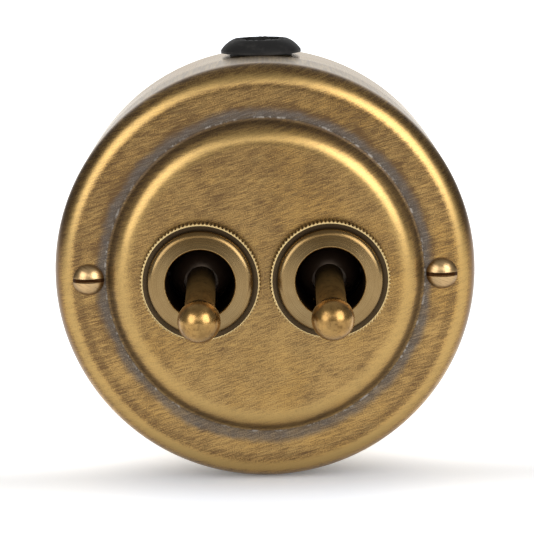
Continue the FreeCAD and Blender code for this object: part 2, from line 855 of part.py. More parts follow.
def terminal_screws(side, across):
    """The clamp screws, driven from behind towards the wire holes."""
    screws = []
    block_back = housing_back - size["terminal_block_depth"]
    for name, middle in (("upper", size["terminal_spacing"]), ("common", ZERO),
                         ("lower", -size["terminal_spacing"])):
        label = f"{side}_{name}_clamp_screw"
        body = new_body(label)
        head_back = block_back - size["clamp_head_height"]
        revolve(body, outline(body, label + "_section", "XY_Plane", [
            (0, head_back),
            (size["clamp_head_radius"], head_back),
            (size["clamp_head_radius"], block_back),
            (size["clamp_screw_radius"], block_back),
            (size["clamp_screw_radius"], block_back + size["wire_depth"]),
            (0, block_back + size["wire_depth"]),
        ]))
        half_slot = size["clamp_slot_width"] / 2
        cut(body, box_outline(body, label + "_slot", "YZ_Plane",
                              (head_back - size["clamp_slot_depth"], -half_slot),
                              (head_back + size["clamp_slot_depth"], half_slot)))
        screws.append(place(body, across, ZERO, middle))
    group(side + "_terminal_screws", screws)


def fixed_contacts(side, across):
    """The two silver buttons that the rocker's buttons meet."""
    body = new_body(side + "_fixed_contact")
    pad(body, rounds(body, side + "_fixed_face", "XZ_Plane", [(0, 0, size["button_radius"])]),
        size["fixed_contact_height"])
    place(body, across, strip_front, button_up)
    group(side + "_fixed_contacts", [body, mirrored(body, FreeCAD.Vector(0, 0, 1))])


# Moving pieces of one gang

def dolly(side, across):
    """The turned lever: a stem pressed into the hub, a flared shaft and a ball with a turned flat."""
    body = new_body(side + "_dolly")
    neck = size["dolly_reach"] - leg(size["ball_radius"], size["dolly_neck_radius"])
    pole = size["dolly_reach"] + leg(size["ball_radius"], size["ball_flat_radius"])
    revolve(body, outline(body, side + "_dolly_section", "XY_Plane", [
        (0, stem_start),
        (size["dolly_stem_radius"], stem_start),
        (size["dolly_stem_radius"], size["hub_seat_reach"]),
        (size["dolly_root_radius"], size["hub_seat_reach"]),
        (size["dolly_neck_radius"], neck, ("left", size["ball_radius"])),
        (size["ball_flat_radius"], pole),
        (0, pole),
    ]))
    return keep(place(body, across, pivot_out, tilt=-size["dolly_tilt"]))


def dolly_hub(side, across):
    """A moulded ball on the pivot, with a recess for the dolly's root and a bored tail for the plunger."""
    body = new_body(side + "_dolly_hub")
    bore = size["plunger_radius"] + size["plunger_clearance"]
    stem = size["dolly_stem_radius"]
    revolve(body, outline(body, side + "_hub_section", "XY_Plane", [
        (bore, -tail_reach),
        (size["tail_radius"], -tail_reach),
        (size["tail_radius"], -leg(size["hub_radius"], size["tail_radius"]), ("left", size["hub_radius"])),
        (size["hub_recess_radius"], leg(size["hub_radius"], size["hub_recess_radius"])),
        (size["hub_recess_radius"], size["hub_seat_reach"]),
        (stem, size["hub_seat_reach"]),
        (stem, stem_start),
        (0, stem_start),
        (0, -size["spring_seat"]),
        (bore, -size["spring_seat"]),
    ]))
    cut(body, rounds(body, side + "_hub_pin_hole", "YZ_Plane",
                     [(0, 0, size["pin_radius"] + size["pin_clearance"])]))
    return keep(place(body, across, pivot_out, tilt=-size["dolly_tilt"]))


def plunger(side, across):
    body = new_body(side + "_plunger")
    back = size["spring_seat"] + size["spring_length"]
    revolve(body, outline(body, side + "_plunger_section", "XY_Plane", [
        (0, -(plunger_reach + size["plunger_radius"]), ("left", size["plunger_radius"])),
        (size["plunger_radius"], -plunger_reach),
        (size["plunger_radius"], -back),
        (0, -back),
    ]))
    return keep(place(body, across, pivot_out, tilt=-size["dolly_tilt"]))


def spring(side, across):
    """A coil spring between the bottom of the tail's bore and the plunger."""
    body = new_body(side + "_spring")
    wire = size["spring_wire_radius"]
    lowest = size["spring_seat"] + size["spring_length"] - wire
    sketch = rounds(body, side + "_spring_wire", "XY_Plane", [(size["spring_coil_radius"], -lowest, wire)])
    coil = body.newObject("PartDesign::AdditiveHelix", side + "_spring_coil")
    coil.Profile = sketch
    coil.ReferenceAxis = (sketch, ["V_Axis"])
    coil.Mode = "height-turns-angle"
    bind(coil, "Height", size["spring_length"] - wire * 2)
    bind(coil, "Turns", size["spring_turns"])
    return keep(place(body, across, pivot_out, tilt=-size["dolly_tilt"]))


def rocker(side, across):
    """A brass strip folded to a shallow V, with a trunnion on each side of its bend."""
    body = new_body(side + "_rocker")
    fold = size["rocker_fold"]
    end = size["rocker_half_length"]
    inner = -(size["rocker_bend_radius"] / fold.cosine())
    outer = -(rocker_outer_bend / fold.cosine())
    rise = end * fold.tangent()
    pad(body, outline(body, side + "_rocker_fold", "YZ_Plane", [
        (inner + rise, -end),
        (inner, 0, ("round", size["rocker_bend_radius"])),
        (inner + rise, end),
        (outer + rise, end),
        (outer, 0, ("round", rocker_outer_bend)),
        (outer + rise, -end),
    ]), size["rocker_width"], both_ways=True)
    for name, sign in (("near", 1), ("far", -1)):
        sketch = rounds(body, f"{side}_{name}_trunnion", "YZ_Plane", [(0, 0, size["trunnion_radius"])])
        bind(sketch, "AttachmentOffset.Base.z", size["rocker_width"] / 2 * sign)
        pad(body, sketch, size["trunnion_length"], reverse=sign < 0)
    return keep(place(body, across, rocker_out, tilt=size["rocker_tilt"]))


def moving_contacts(side, across):
    """The rocker's two silver buttons, standing off the wall side of its arms."""
    members = []
    for name, sign in (("upper", 1), ("lower", -1)):
        body = new_body(f"{side}_{name}_button")
        sketch = rounds(body, f"{side}_{name}_button_face", "XZ_Plane",
                        [(0, size["button_across"] * sign, size["button_radius"])])
        bind(sketch, "AttachmentOffset.Base.z", button_depth)
        pad(body, sketch, size["button_height"])
        members.append(place(body, across, rocker_out,
                             tilt=size["rocker_tilt"] - size["rocker_fold"] * sign))
    group(side + "_moving_contacts", members)


# The whole switch

back_box()
front_cover()
cover_screws()
cover_pillars()
cable_grommet()
earth_terminal()
for side, across in (("left", -half_pitch), ("right", half_pitch)):
    ring_nut(side, across)
    bush(side, across)
    back_nut(side, across)
    lock_washer(side, across)
    yoke(side, across)
    switch_housing(side, across)
    pivot_pin(side, across)
    common_terminal(side, across)
    way_terminal(side, across, "upper", 1)
    way_terminal(side, across, "lower", -1)
    terminal_screws(side, across)
    fixed_contacts(side, across)
    dolly(side, across)
    dolly_hub(side, across)
    spring(side, across)
    plunger(side, across)
    rocker(side, across)
    moving_contacts(side, across)
doc.recompute()

faults = [item.Name for item in doc.Objects if "Invalid" in item.State or "Error" in item.State]
faults += [node.Label for node in nodes if node.Shape.isNull() or not node.Shape.isValid()]
if faults:
    raise RuntimeError("these pieces failed: " + ", ".join(faults))
os.makedirs("parts", exist_ok=True)
for node in nodes:
    node.Shape.exportStep(os.path.join("parts", node.Label + ".step"))
    print(node.Label, len(node.Shape.Solids), round(node.Shape.Volume, 2))
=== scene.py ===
"""Looks of the two-gang brass dolly switch, laid out as a Blender add-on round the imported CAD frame.

The row frame is in metres: the wall face is the plane y = 0, the front faces -Y and +Z is up. A turned
piece is drawn as a profile of (radius, out) points and spun round its own axis.
"""

import json
import math

import bmesh
import bpy
from bpy.props import FloatProperty, FloatVectorProperty, IntProperty, PointerProperty
from mathutils import Matrix, Quaternion, Vector, noise


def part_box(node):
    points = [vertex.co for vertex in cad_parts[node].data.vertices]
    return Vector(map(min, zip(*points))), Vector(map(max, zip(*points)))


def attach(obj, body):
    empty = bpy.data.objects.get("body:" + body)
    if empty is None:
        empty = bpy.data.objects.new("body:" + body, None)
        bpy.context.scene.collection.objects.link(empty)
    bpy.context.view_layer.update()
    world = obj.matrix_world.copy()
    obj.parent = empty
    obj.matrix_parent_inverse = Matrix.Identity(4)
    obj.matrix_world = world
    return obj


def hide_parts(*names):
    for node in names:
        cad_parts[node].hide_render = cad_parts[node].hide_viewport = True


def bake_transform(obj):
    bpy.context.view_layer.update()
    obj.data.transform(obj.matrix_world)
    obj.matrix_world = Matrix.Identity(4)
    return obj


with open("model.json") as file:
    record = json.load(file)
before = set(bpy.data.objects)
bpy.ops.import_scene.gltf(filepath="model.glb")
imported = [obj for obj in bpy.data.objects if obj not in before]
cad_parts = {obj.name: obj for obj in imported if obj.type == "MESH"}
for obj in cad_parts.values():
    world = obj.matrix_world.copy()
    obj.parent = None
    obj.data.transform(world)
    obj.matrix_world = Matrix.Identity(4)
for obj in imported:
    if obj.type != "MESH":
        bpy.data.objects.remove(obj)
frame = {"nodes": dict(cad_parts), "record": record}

bl_info = {
    "name": "Brass dolly switch",
    "version": (1, 0, 0),
    "blender": (4, 5, 0),
    "location": "3D View > Sidebar > Dolly switch",
    "description": "Builds the finished pieces of a two-gang brass dolly switch on its CAD frame",
    "category": "Object",
}

MM = 0.001

# Levels and places read from the frame

cover_low, cover_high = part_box("front_cover")
ring_low, ring_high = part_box("right_ring_nut")
pin_low, pin_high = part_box("right_pivot_pin")
grommet_low, grommet_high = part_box("cable_grommet")
earth_low, earth_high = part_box("earth_terminal")
CASE_RADIUS = cover_high.x
SEAM_OUT = -cover_high.y
DISC_OUT = -cover_low.y
GANG_ACROSS = (ring_low.x + ring_high.x) / 2
GANGS = {"left": -GANG_ACROSS, "right": GANG_ACROSS}
RING_RADIUS = (ring_high.x - ring_low.x) / 2
RING_HEIGHT = -ring_low.y - DISC_OUT
PIVOT_OUT = -(pin_low.y + pin_high.y) / 2
GROMMET_OUT = -(grommet_low.y + grommet_high.y) / 2
GROMMET_TOP = grommet_high.z
EARTH_ACROSS = (earth_low.x + earth_high.x) / 2
EARTH_UP = (earth_low.z + earth_high.z) / 2


def length(description, millimetres):
    """A length property whose default is given in millimetres."""
    return FloatProperty(description=description, default=millimetres * MM, unit="LENGTH", precision=5)


def angle(description, degrees):
    return FloatProperty(description=description, default=math.radians(degrees), subtype="ANGLE")


def amount(description, default):
    return FloatProperty(description=description, default=default, precision=4)


def linear(code):
    """The scene colour of an sRGB hex code."""
    parts = [int(code[i:i + 2], 16) / 255 for i in (1, 3, 5)]
    return tuple(p / 12.92 if p <= 0.04045 else ((p + 0.055) / 1.055) ** 2.4 for p in parts)


def colour(description, code):
    return FloatVectorProperty(description=description, default=linear(code), subtype="COLOR",
                               min=0.0, max=1.0)


class CaseSizes(bpy.types.PropertyGroup):
    """Sizes of the spun cover and the box behind it."""

    sheet: length("Thickness of the brass sheet", 1.2)
    rim_round: length("Outer radius of the rounded rim", 4.8)
    crease_radius: length("Distance of the crease from the middle", 32.5)
    crease_round: length("Radius of the hollow at the foot of the shoulder", 1.0)
    disc_step: length("Height of the raised disc above the flat", 3.34)
    shoulder_slope: angle("Steepest slope of the shoulder", 56.0)
    shoulder_round: length("Radius of the top of the shoulder", 5.0)
    back_round: length("Radius of the box's back edge", 1.6)
    lip_length: length("How far the box's lip reaches into the cover", 3.0)
    lip_clearance: length("Gap between the lip and the cover", 0.1)
    bush_hole: length("Radius of each bush's hole in the cover", 9.1)
    screw_hole: length("Radius of each screw's hole in the cover", 1.7)
    screw_across: length("Distance of the cover screws from the middle", 35.8)
    fixing_up: length("Distance of the wall fixings from the middle", 25.4)
    fixing_hole: length("Radius of the wall fixing holes", 2.4)
    rivet_hole: length("Radius of the rivet holes in the back", 1.84)
    cable_hole: length("Radius of the cable hole in the top", 6.65)


class GangSizes(bpy.types.PropertyGroup):
    """Sizes of the ring nut and the dolly of each gang."""

    ring_thread: length("Inner radius of the ring nut's thread", 9.04)
    ring_flange: length("Height of the knurled flange at its edge", 2.5)
    ring_dish: length("Drop of the flange towards the collar", 0.4)
    collar_radius: length("Outer radius of the collar", 10.65)
    collar_crown: length("Fall of the collar's face towards its edge", 0.55)
    collar_round: length("Radius of the collar's outer edge", 1.5)
    bore_radius: length("Radius of the ring nut's bore", 7.0)
    bore_round: length("Radius of the bore's front edge", 0.25)
    ring_lip: length("Thickness of the lip over the bush", 1.1)
    knurl_count: IntProperty(description="Ribs round each ring nut", default=94)
    knurl_depth: length("Height of the knurl's ribs", 0.4)
    knurl_land: length("Width of the top of each rib", 0.12)
    knurl_chamfer: length("Chamfer at the front of each rib", 0.16)
    dolly_tilt: angle("Angle of the dollies below level", 11.2)
    stem_start: length("Distance of the stem's end from the pivot", 2.0)
    stem_radius: length("Radius of the stem in the hub", 1.9)
    root_reach: length("Distance of the shaft's root from the pivot", 4.0)
    root_radius: length("Radius of the shaft at its root", 2.88)
    neck_radius: length("Radius of the shaft under the ball", 3.02)
    ball_reach: length("Distance of the ball's middle from the pivot", 25.5)
    ball_radius: length("Radius of the ball", 4.22)
    flat_radius: length("Radius of the turned flat on the ball", 1.2)
    spring_seat: length("Distance of the spring's seat behind the pivot", 2.6)
    spring_length: length("Length of the spring at rest", 3.8)
    spring_wire: length("Thickness of the spring's wire", 0.44)


class ScrewSizes(bpy.types.PropertyGroup):
    """Sizes of the two cover screws."""

    head_radius: length("Radius of the domed head", 3.15)
    head_edge: length("Height of the head's upright edge", 0.5)
    head_height: length("Height of the head", 2.2)
    slot_width: length("Width of the driver slot", 0.86)
    slot_depth: length("Depth of the driver slot", 1.0)
    shank_radius: length("Radius of the shank", 1.5)
    shank_length: length("Length of the shank", 12.0)


class GrommetSizes(bpy.types.PropertyGroup):
    """Sizes of the rubber grommet in the top of the box."""

    bore: length("Radius of the cable's bore", 4.0)
    inner_radius: length("Radius of the flange inside the box", 8.0)
    inner_bottom: length("Height of that flange's lower face", 38.6)
    inner_top: length("Height of that flange's upper face", 40.8)
    neck: length("Radius of the neck in the wall", 6.6)
    seat: length("Height of the outer flange's underside", 43.05)
    flange_radius: length("Radius of the outer flange", 8.5)
    flange_edge: length("Thickness of the outer flange's edge", 0.5)
    dome_radius: length("Radius of the bulge above the flange", 6.0)
    top_radius: length("Outer radius of the top", 5.4)
    tear: length("How deep the torn rim is", 0.35)


class BrassColours(bpy.types.PropertyGroup):
    """Colours of the brass and its patina."""

    # Bright brass of the scratches and of the crests, where it is rubbed wear together with a painted
    # highlight
    bright: colour("Rubbed brass of the crests", "#b3965d")
    mid: colour("Brass of the flats and the box", "#b49055")
    warm: colour("Golden patches in the flats", "#b98d42")
    # Brown patina of the mottling and ticks, also laid as painted shade on the rim's outer edge at the
    # sides
    brown: colour("Brown patina between the brush marks", "#644b2f")
    # Dark patina together with painted shade at the foot of the shoulder
    dark: colour("Dark patina at the foot of the shoulder", "#3b332a")
    crease: colour("Grey patina outside the crease", "#4d4844")
    scratch: colour("Pale scratches along the crease", "#b9b2a8")
    side: colour("Paler brass of the case's side", "#b39a6c")
    turned: colour("Turned brass of the dollies", "#ad884f")
    nut: colour("Duller turned brass of the nuts", "#a38b62")
    head: colour("Paler turned brass of the screw heads", "#c4a474")
    # Darker brown of the turned pieces: their mottling, the darker edges of the screw heads, and painted
    # shade on the collars' tops
    turned_deep: colour("Brown dirt on the turned pieces", "#5f4521")
    # Grime and painted shade in the ring nuts' grooves, along the knurls and on the dollies' shafts
    dirt: colour("Dark dirt in the grooves and on the shafts", "#2a2420")
    # Grime and painted shade in the screws' slots
    slot: colour("Dark dirt in the screws' slots", "#3a2412")
    # Pale brass: rubbed wear on the knurls' tips, and a painted highlight on the knurls' front ends and
    # the bores' edges
    worn: colour("Rubbed tips of the knurls and edges of the bores", "#d6bc86")
    # Near-black brass of the bushes
    bush: colour("Blackened brass of the bushes", "#1b120c")
    inner: colour("Darkened brass inside the case", "#4a3b26")
    wire: colour("Plain brass of the terminals", "#c6a663")


class OtherColours(bpy.types.PropertyGroup):
    """Colours of the pieces that aren't brass."""

    moulding: colour("Dark moulded plastic", "#1f1814")
    moulding_deep: colour("Darkest patches of that plastic", "#0f0b09")
    rubber: colour("Black rubber of the grommet", "#151311")
    dust: colour("Dust in the rubber's pores", "#5a5652")
    hub: colour("Satin moulding of the hubs", "#2c1f16")
    steel: colour("Plain steel", "#b9b9bb")
    # Near-black steel of the pivot pins
    pin: colour("Blackened steel of the pivot pins", "#2b2827")
    silver: colour("Contact silver", "#e6e3dc")


class StageSizes(bpy.types.PropertyGroup):
    """Camera, lamps and floor."""

    camera_distance: length("From the middle of the rim to the camera", 417.0)
    camera_height: angle("Elevation of the camera", 11.0)
    camera_roll: angle("Turn of the camera about its view", -1.1)
    rim_out: length("Distance of the rim plane from the wall", 34.0)
    focal: amount("Lens in millimetres on a 36 mm sensor", 137.06)
    shift_x: amount("Sideways shift of the frame", 0.00356)
    shift_y: amount("Upward shift of the frame", 0.00899)
    floor_width: length("Side of the square floor", 6000.0)
    floor_tone: colour("Plain floor", "#f3f3f3")
    # Painted cool tint of the floor near the case, which cancels the brass's warm bounce light in the
    # shadow
    floor_shade: colour("Cooler floor under the case", "#ecf2fc")
    floor_lift: amount("Glow that keeps the open floor white", 0.1)
    behind_glow: amount("Further glow of the floor behind the case", 0.6)
    ahead_glow: amount("Further glow of the floor ahead of the case", 0.3)
    beside_glow: amount("Further glow of the floor beside the case", 0.1)
    left_power: amount("Power of the left softbox in watts", 1.7)
    right_power: amount("Power of the right softbox in watts", 2.5)
    top_power: amount("Power of the strip above the camera in watts", 0.5)
    softbox_width: length("Width of each softbox", 360.0)
    softbox_height: length("Height of each softbox", 440.0)
    strip_width: length("Width of the strip above the camera", 600.0)
    strip_height: length("Height of that strip", 150.0)
    lamp_distance: length("From the case to each softbox", 620.0)
    front_card: amount("Grey of the card behind the camera", 0.26)
    side_card: amount("Grey of the cards beside the case", 0.2)
    top_card: amount("Grey of the card above the case", 0.38)
    card_distance: length("From the case to each card", 1000.0)


# Node trees written as expressions

class Value:
    """A number's socket in a node tree, for use in Python expressions."""

    def __init__(self, graph, socket):
        self.graph = graph
        self.socket = socket

    def __add__(self, other):
        return self.graph.math("ADD", self, other)

    def __radd__(self, other):
        return self.graph.math("ADD", other, self)

    def __sub__(self, other):
        return self.graph.math("SUBTRACT", self, other)

    def __rsub__(self, other):
        return self.graph.math("SUBTRACT", other, self)

    def __mul__(self, other):
        return self.graph.math("MULTIPLY", self, other)

    def __rmul__(self, other):
        return self.graph.math("MULTIPLY", other, self)

    def __truediv__(self, other):
        return self.graph.math("DIVIDE", self, other)

    def __rtruediv__(self, other):
        return self.graph.math("DIVIDE", other, self)

    def __pow__(self, other):
        return self.graph.math("POWER", self, other)

    def __abs__(self):
        return self.graph.math("ABSOLUTE", self)

    def rises(self, low, high):
        """0 below low, 1 above high and smooth between them."""
        return self.graph.node("ShaderNodeMapRange", {"interpolation_type": "SMOOTHSTEP"},
                               {"Value": self, "From Min": low, "From Max": high})["Result"]

    def falls(self, low, high):
        return 1 - self.rises(low, high)

    def within(self, low, high, soft):
        """1 between low and high, with soft ends."""
        return self.rises(low - soft, low + soft) * self.falls(high - soft, high + soft)


class Placed:
    """A node in a tree. Its outputs are found by identifier, name or number."""

    def __init__(self, graph, node):
        self.graph = graph
        self.node = node

    def __getitem__(self, key):
        return Value(self.graph, find_socket(self.node.outputs, key))


def find_socket(sockets, key):
    if isinstance(key, int):
        return sockets[key]
    named = [s for s in sockets if s.identifier == key] or [s for s in sockets if s.name == key]
    if not named:
        raise KeyError(f"no socket {key!r} among {[s.identifier for s in sockets]}")
    return named[0]


class Graph:
    """A node tree that is filled from Python."""

    def __init__(self, tree):
        self.tree = tree

    def node(self, kind, settings=None, sockets=None):
        """Adds a node: its settings come first, then the values or links of its sockets."""
        node = self.tree.nodes.new(kind)
        for key, value in (settings or {}).items():
            setattr(node, key, value)
        for key, value in (sockets or {}).items():
            self.feed(node, key, value)
        return Placed(self, node)

    def feed(self, node, key, value):
        socket = find_socket(node.inputs, key)
        if isinstance(value, Value):
            self.tree.links.new(value.socket, socket)
        elif socket.type == "RGBA" and len(value) == 3:
            socket.default_value = (*value, 1.0)
        else:
            socket.default_value = value

    def math(self, operation, *operands):
        return self.node("ShaderNodeMath", {"operation": operation}, dict(enumerate(operands)))[0]

    def parts(self, vector):
        split = self.node("ShaderNodeSeparateXYZ", sockets={0: vector})
        return split["X"], split["Y"], split["Z"]

    def span(self, x, z):
        """Distance from an axis along Y, from the two parts across it."""
        return (x * x + z * z) ** 0.5

    def join(self, x, y, z):
        return self.node("ShaderNodeCombineXYZ", sockets={0: x, 1: y, 2: z})[0]


class Finish(Graph):
    """A material and its Principled shader."""

    def __init__(self, name):
        self.material = bpy.data.materials.new(name)
        self.material.use_nodes = True
        super().__init__(self.material.node_tree)
        self.surface = self.tree.nodes["Principled BSDF"]

    def set(self, **sockets):
        """Sets or links the shader's sockets: Base_Color stands for Base Color."""
        for key, value in sockets.items():
            self.feed(self.surface, key.replace("_", " "), value)

    def spot(self):
        return self.node("ShaderNodeTexCoord")["Object"]

    def stretched(self, vector, scale, turn=0.0):
        """The vector turned about the Y axis, then scaled along each axis."""
        turned = self.node("ShaderNodeMapping", sockets={"Vector": vector, "Rotation": (0, turn, 0)})
        return self.node("ShaderNodeMapping", sockets={"Vector": turned[0], "Scale": scale})[0]

    def grain(self, vector, scale=1.0, detail=2.0, roughness=0.5):
        return self.node("ShaderNodeTexNoise", sockets={
            "Vector": vector, "Scale": scale, "Detail": detail, "Roughness": roughness})[0]

    def rings(self, distance, pitch):
        """Uneven turning marks at about the given pitch."""
        return self.node("ShaderNodeTexNoise", {"noise_dimensions": "1D"}, {
            "W": distance, "Scale": 1 / pitch, "Detail": 3.0})[0]

    def mix(self, factor, first, second):
        return self.node("ShaderNodeMix", {"data_type": "RGBA"}, {
            "Factor_Float": factor, "A_Color": first, "B_Color": second})["Result_Color"]

    def bump(self, height, distance, strength):
        return self.node("ShaderNodeBump", sockets={
            "Height": height, "Distance": distance, "Strength": strength})[0]


# Profiles and turned meshes

ARC_STEPS = 12
TURN_SEGMENTS = 256
GROMMET_SEGMENTS = 192
DOLLY_SEGMENTS = 128
SCREW_SEGMENTS = 96
DRILL_SEGMENTS = 96
SUPPORT = 0.08 * MM
SHARP_ANGLE = math.radians(32)
MERGE_DISTANCE = 1e-7


def arc(centre, radius, start, end, steps=ARC_STEPS):
    """Points on an arc about (radius, out) centre, with angles measured from the radius axis."""
    return [Vector((centre[0] + radius * math.cos(start + (end - start) * i / steps),
                    centre[1] + radius * math.sin(start + (end - start) * i / steps)))
            for i in range(steps + 1)]


def rounded(corners):
    """A closed profile through (radius, out) corners; a third entry rounds a corner.

    Each straight run gets a support point near both ends, which keeps its shading flat.
    """
    points = [Vector(corner[:2]) for corner in corners]
    profile = []
    for i, corner in enumerate(corners):
        back = (points[i - 1] - points[i]).normalized()
        onward = (points[(i + 1) % len(points)] - points[i]).normalized()
        radius = corner[2] if len(corner) > 2 else 0.0
        if radius == 0.0:
            run = [points[i]]
        else:
            half = back.angle(onward) / 2
            setback = radius / math.tan(half)
            centre = points[i] + (back + onward).normalized() * (radius / math.sin(half))
            first = points[i] + back * setback - centre
            sweep = first.angle_signed(points[i] + onward * setback - centre)
            run = [centre + Matrix.Rotation(-sweep * k / ARC_STEPS, 2) @ first
                   for k in range(ARC_STEPS + 1)]
        profile.append(run)
    closed = []
    for i, run in enumerate(profile):
        nearest = profile[(i + 1) % len(profile)][0]
        closed.extend(run)
        gap = nearest - run[-1]
        if gap.length > 4 * SUPPORT:
            closed.append(run[-1] + gap.normalized() * SUPPORT)
            closed.append(nearest - gap.normalized() * SUPPORT)
    return closed


def axis_frame(origin, tilt=0.0):
    """Turns local +Z to face out of the wall, tilted downwards, at the given place."""
    return Matrix.Translation(origin) @ Matrix.Rotation(math.pi / 2 + tilt, 4, "X")


def mesh_from(name, builder):
    """A new mesh with what the builder holds. The builder is freed."""
    mesh = bpy.data.meshes.new(name)
    builder.to_mesh(mesh)
    builder.free()
    return mesh


def turned_mesh(name, profile, placement, segments=TURN_SEGMENTS):
    """Spins a closed (radius, out) profile round the placement's Z axis."""
    builder = bmesh.new()
    uv_layer = builder.loops.layers.uv.new("turned")
    travel = [0.0]
    for first, second in zip(profile, profile[1:] + profile[:1]):
        travel.append(travel[-1] + (second - first).length)
    rows = []
    for radius, out in profile:
        count = 1 if radius < MERGE_DISTANCE else segments
        row = []
        for k in range(count):
            turn = 2 * math.pi * k / segments
            spot = Vector((radius * math.cos(turn), radius * math.sin(turn), out))
            row.append(builder.verts.new(placement @ spot))
        rows.append(row)
    for i, row in enumerate(rows):
        following = rows[(i + 1) % len(rows)]
        if len(row) == 1 and len(following) == 1:
            continue
        for k in range(segments):
            corners = [(row[k % len(row)], k, i), (row[(k + 1) % len(row)], k + 1, i),
                       (following[(k + 1) % len(following)], k + 1, i + 1),
                       (following[k % len(following)], k, i + 1)]
            unique = [c for j, c in enumerate(corners) if c[0] not in [d[0] for d in corners[:j]]]
            face = builder.faces.new([c[0] for c in unique])
            for loop, (_, turn, step) in zip(face.loops, unique):
                loop[uv_layer].uv = (turn / segments, travel[step] / MM)
    bmesh.ops.remove_doubles(builder, verts=builder.verts, dist=MERGE_DISTANCE)
    bmesh.ops.recalc_face_normals(builder, faces=builder.faces)
    return mesh_from(name, builder)


def new_object(name, mesh):
    piece = bpy.data.objects.new(name, mesh)
    bpy.context.scene.collection.objects.link(piece)
    return piece


def settle(piece):
    """Gives the piece the plain mesh of its modifiers' result and removes them."""
    depsgraph = bpy.context.evaluated_depsgraph_get()
    mesh = bpy.data.meshes.new_from_object(piece.evaluated_get(depsgraph))
    piece.modifiers.clear()
    piece.data = mesh


def drill(piece, holes):
    """Cuts round holes, each (start, end, radius), out of a piece."""
    builder = bmesh.new()
    for start, end, radius in holes:
        run = end - start
        place = Matrix.Translation((start + end) / 2) @ run.to_track_quat("Z", "Y").to_matrix().to_4x4()
        bmesh.ops.create_cone(builder, cap_ends=True, segments=DRILL_SEGMENTS, radius1=radius,
                              radius2=radius, depth=run.length, matrix=place)
    return carve(piece, new_object("drill", mesh_from("drill", builder)))


def carve(piece, cutter):
    """Takes the cutter's shape out of a piece and deletes the cutter."""
    modifier = piece.modifiers.new("carve", "BOOLEAN")
    modifier.operation = "DIFFERENCE"
    modifier.solver = "EXACT"
    modifier.object = cutter
    settle(piece)
    bpy.data.objects.remove(cutter)
    return piece


def smooth(piece):
    piece.data.shade_smooth()
    piece.data.set_sharp_from_angle(angle=SHARP_ANGLE)
    return piece


def dress(piece, finish, body, slot, *nodes):
    """Gives a finished piece its material, the body it rides on and the nodes it stands for."""
    piece.data.materials.clear()
    piece.data.materials.append(finish)
    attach(piece, body)
    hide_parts(*nodes)


def facing(across, out, up):
    """A point in the row frame from its place on the case."""
    return Vector((across, -out, up))


# Finishes: how fine the drawn-out marks are along each axis

BRUSH_RISE = math.radians(17)
FINE_BRUSH = (430, 430, 4600)
COARSE_BRUSH = (340, 340, 2500)
LONG_SCRATCHES = (240, 240, 6400)
COVER_TICKS = (1700, 90, 1700)
BOX_TICKS = (1500, 60, 1500)
SCREW_SCRATCHES = (500, 500, 4200)
SCREW_SCRATCH_RISE = math.radians(-28)
DRAWN_GRAIN = (300, 2600, 2600)

# Zones of the cover's colour, among them patina, painted shade and painted highlights: distances from
# its middle, some with the width of their soft ends

CREASE_ZONE = (30.0 * MM, 34.0 * MM, 0.9 * MM)
CREASE_START = (32.1 * MM, 32.5 * MM)
FOOT_ZONE = (30.6 * MM, 32.5 * MM, 0.5 * MM)
LINE_ZONE = (32.3 * MM, 32.62 * MM, 0.18 * MM)
SHADE_ZONE = (32.0 * MM, 35.0 * MM, 0.9 * MM)
FLANK_ZONE = (33.0 * MM, 39.4 * MM, 0.6 * MM)
HEM_ZONE = (37.3 * MM, 39.0 * MM, 0.5 * MM)
SHOULDER_CREST = (27.6 * MM, 30.2 * MM, 1.2 * MM)
RIM_CREST = (39.4 * MM, 41.2 * MM, 0.7 * MM)
RIM_EDGE = (41.0 * MM, 42.4 * MM)

# Where those zones fade: heights, distances across, and distances out of the wall

LOW_FADE = (24 * MM, 34 * MM)
SHADE_FADE = (-30 * MM, 20 * MM)
HEM_FADE = (-10 * MM, 25 * MM)
EDGE_FADE = (8 * MM, 28 * MM)
FLANK_FADE = (8 * MM, 24 * MM)
FRONT_FADE = (33.0 * MM, 35.0 * MM)

# How far the borders of those zones wander

RAGGED_REACH = 3.0 * MM
CLOUD_REACH = 1.2 * MM
LOW_REACH = 0.7 * MM
FOOT_REACH = 0.8 * MM
SHADE_REACH = 4 * MM

# Marks and zones of the ring nuts, screws and dollies: a dolly's are millimetres along its profile

RING_MARK_PITCH = 0.1 * MM
COLLAR_FOOT = (10.45 * MM, 10.7 * MM)
COLLAR_TOP = (4.0 * MM, 10.0 * MM)
BORE_EDGE = (7.1 * MM, 7.3 * MM)
FLANGE_FRONT = (DISC_OUT + 2.3 * MM, DISC_OUT + 2.8 * MM)
KNURL_FRONT = (DISC_OUT + 2.2 * MM, DISC_OUT + 2.36 * MM)
KNURL_TIP = (RING_RADIUS - 0.3 * MM, RING_RADIUS - 0.05 * MM)
HEAD_EDGE = (2.2 * MM, 3.1 * MM)
DOLLY_MARK_PITCH = 0.22
DOLLY_SHAFT = (4.5, 23.0, 0.4)
DOLLY_NECK = (22.5, 23.3, 0.25)
DOLLY_ROOT = (6.0, 14.0)


def brushed(finish, spot):
    """Short brush marks that rise to the right, fine and coarse together."""
    fine = finish.grain(finish.stretched(spot, FINE_BRUSH, BRUSH_RISE), detail=1)
    coarse = finish.grain(finish.stretched(spot, COARSE_BRUSH, BRUSH_RISE), detail=2)
    return fine * 0.72 + coarse * 0.28


def hairlines(finish, spot):
    """Long pale scratches along the brush marks."""
    drawn = finish.grain(finish.stretched(spot, LONG_SCRATCHES, BRUSH_RISE), detail=1)
    return drawn.rises(0.54, 0.68)


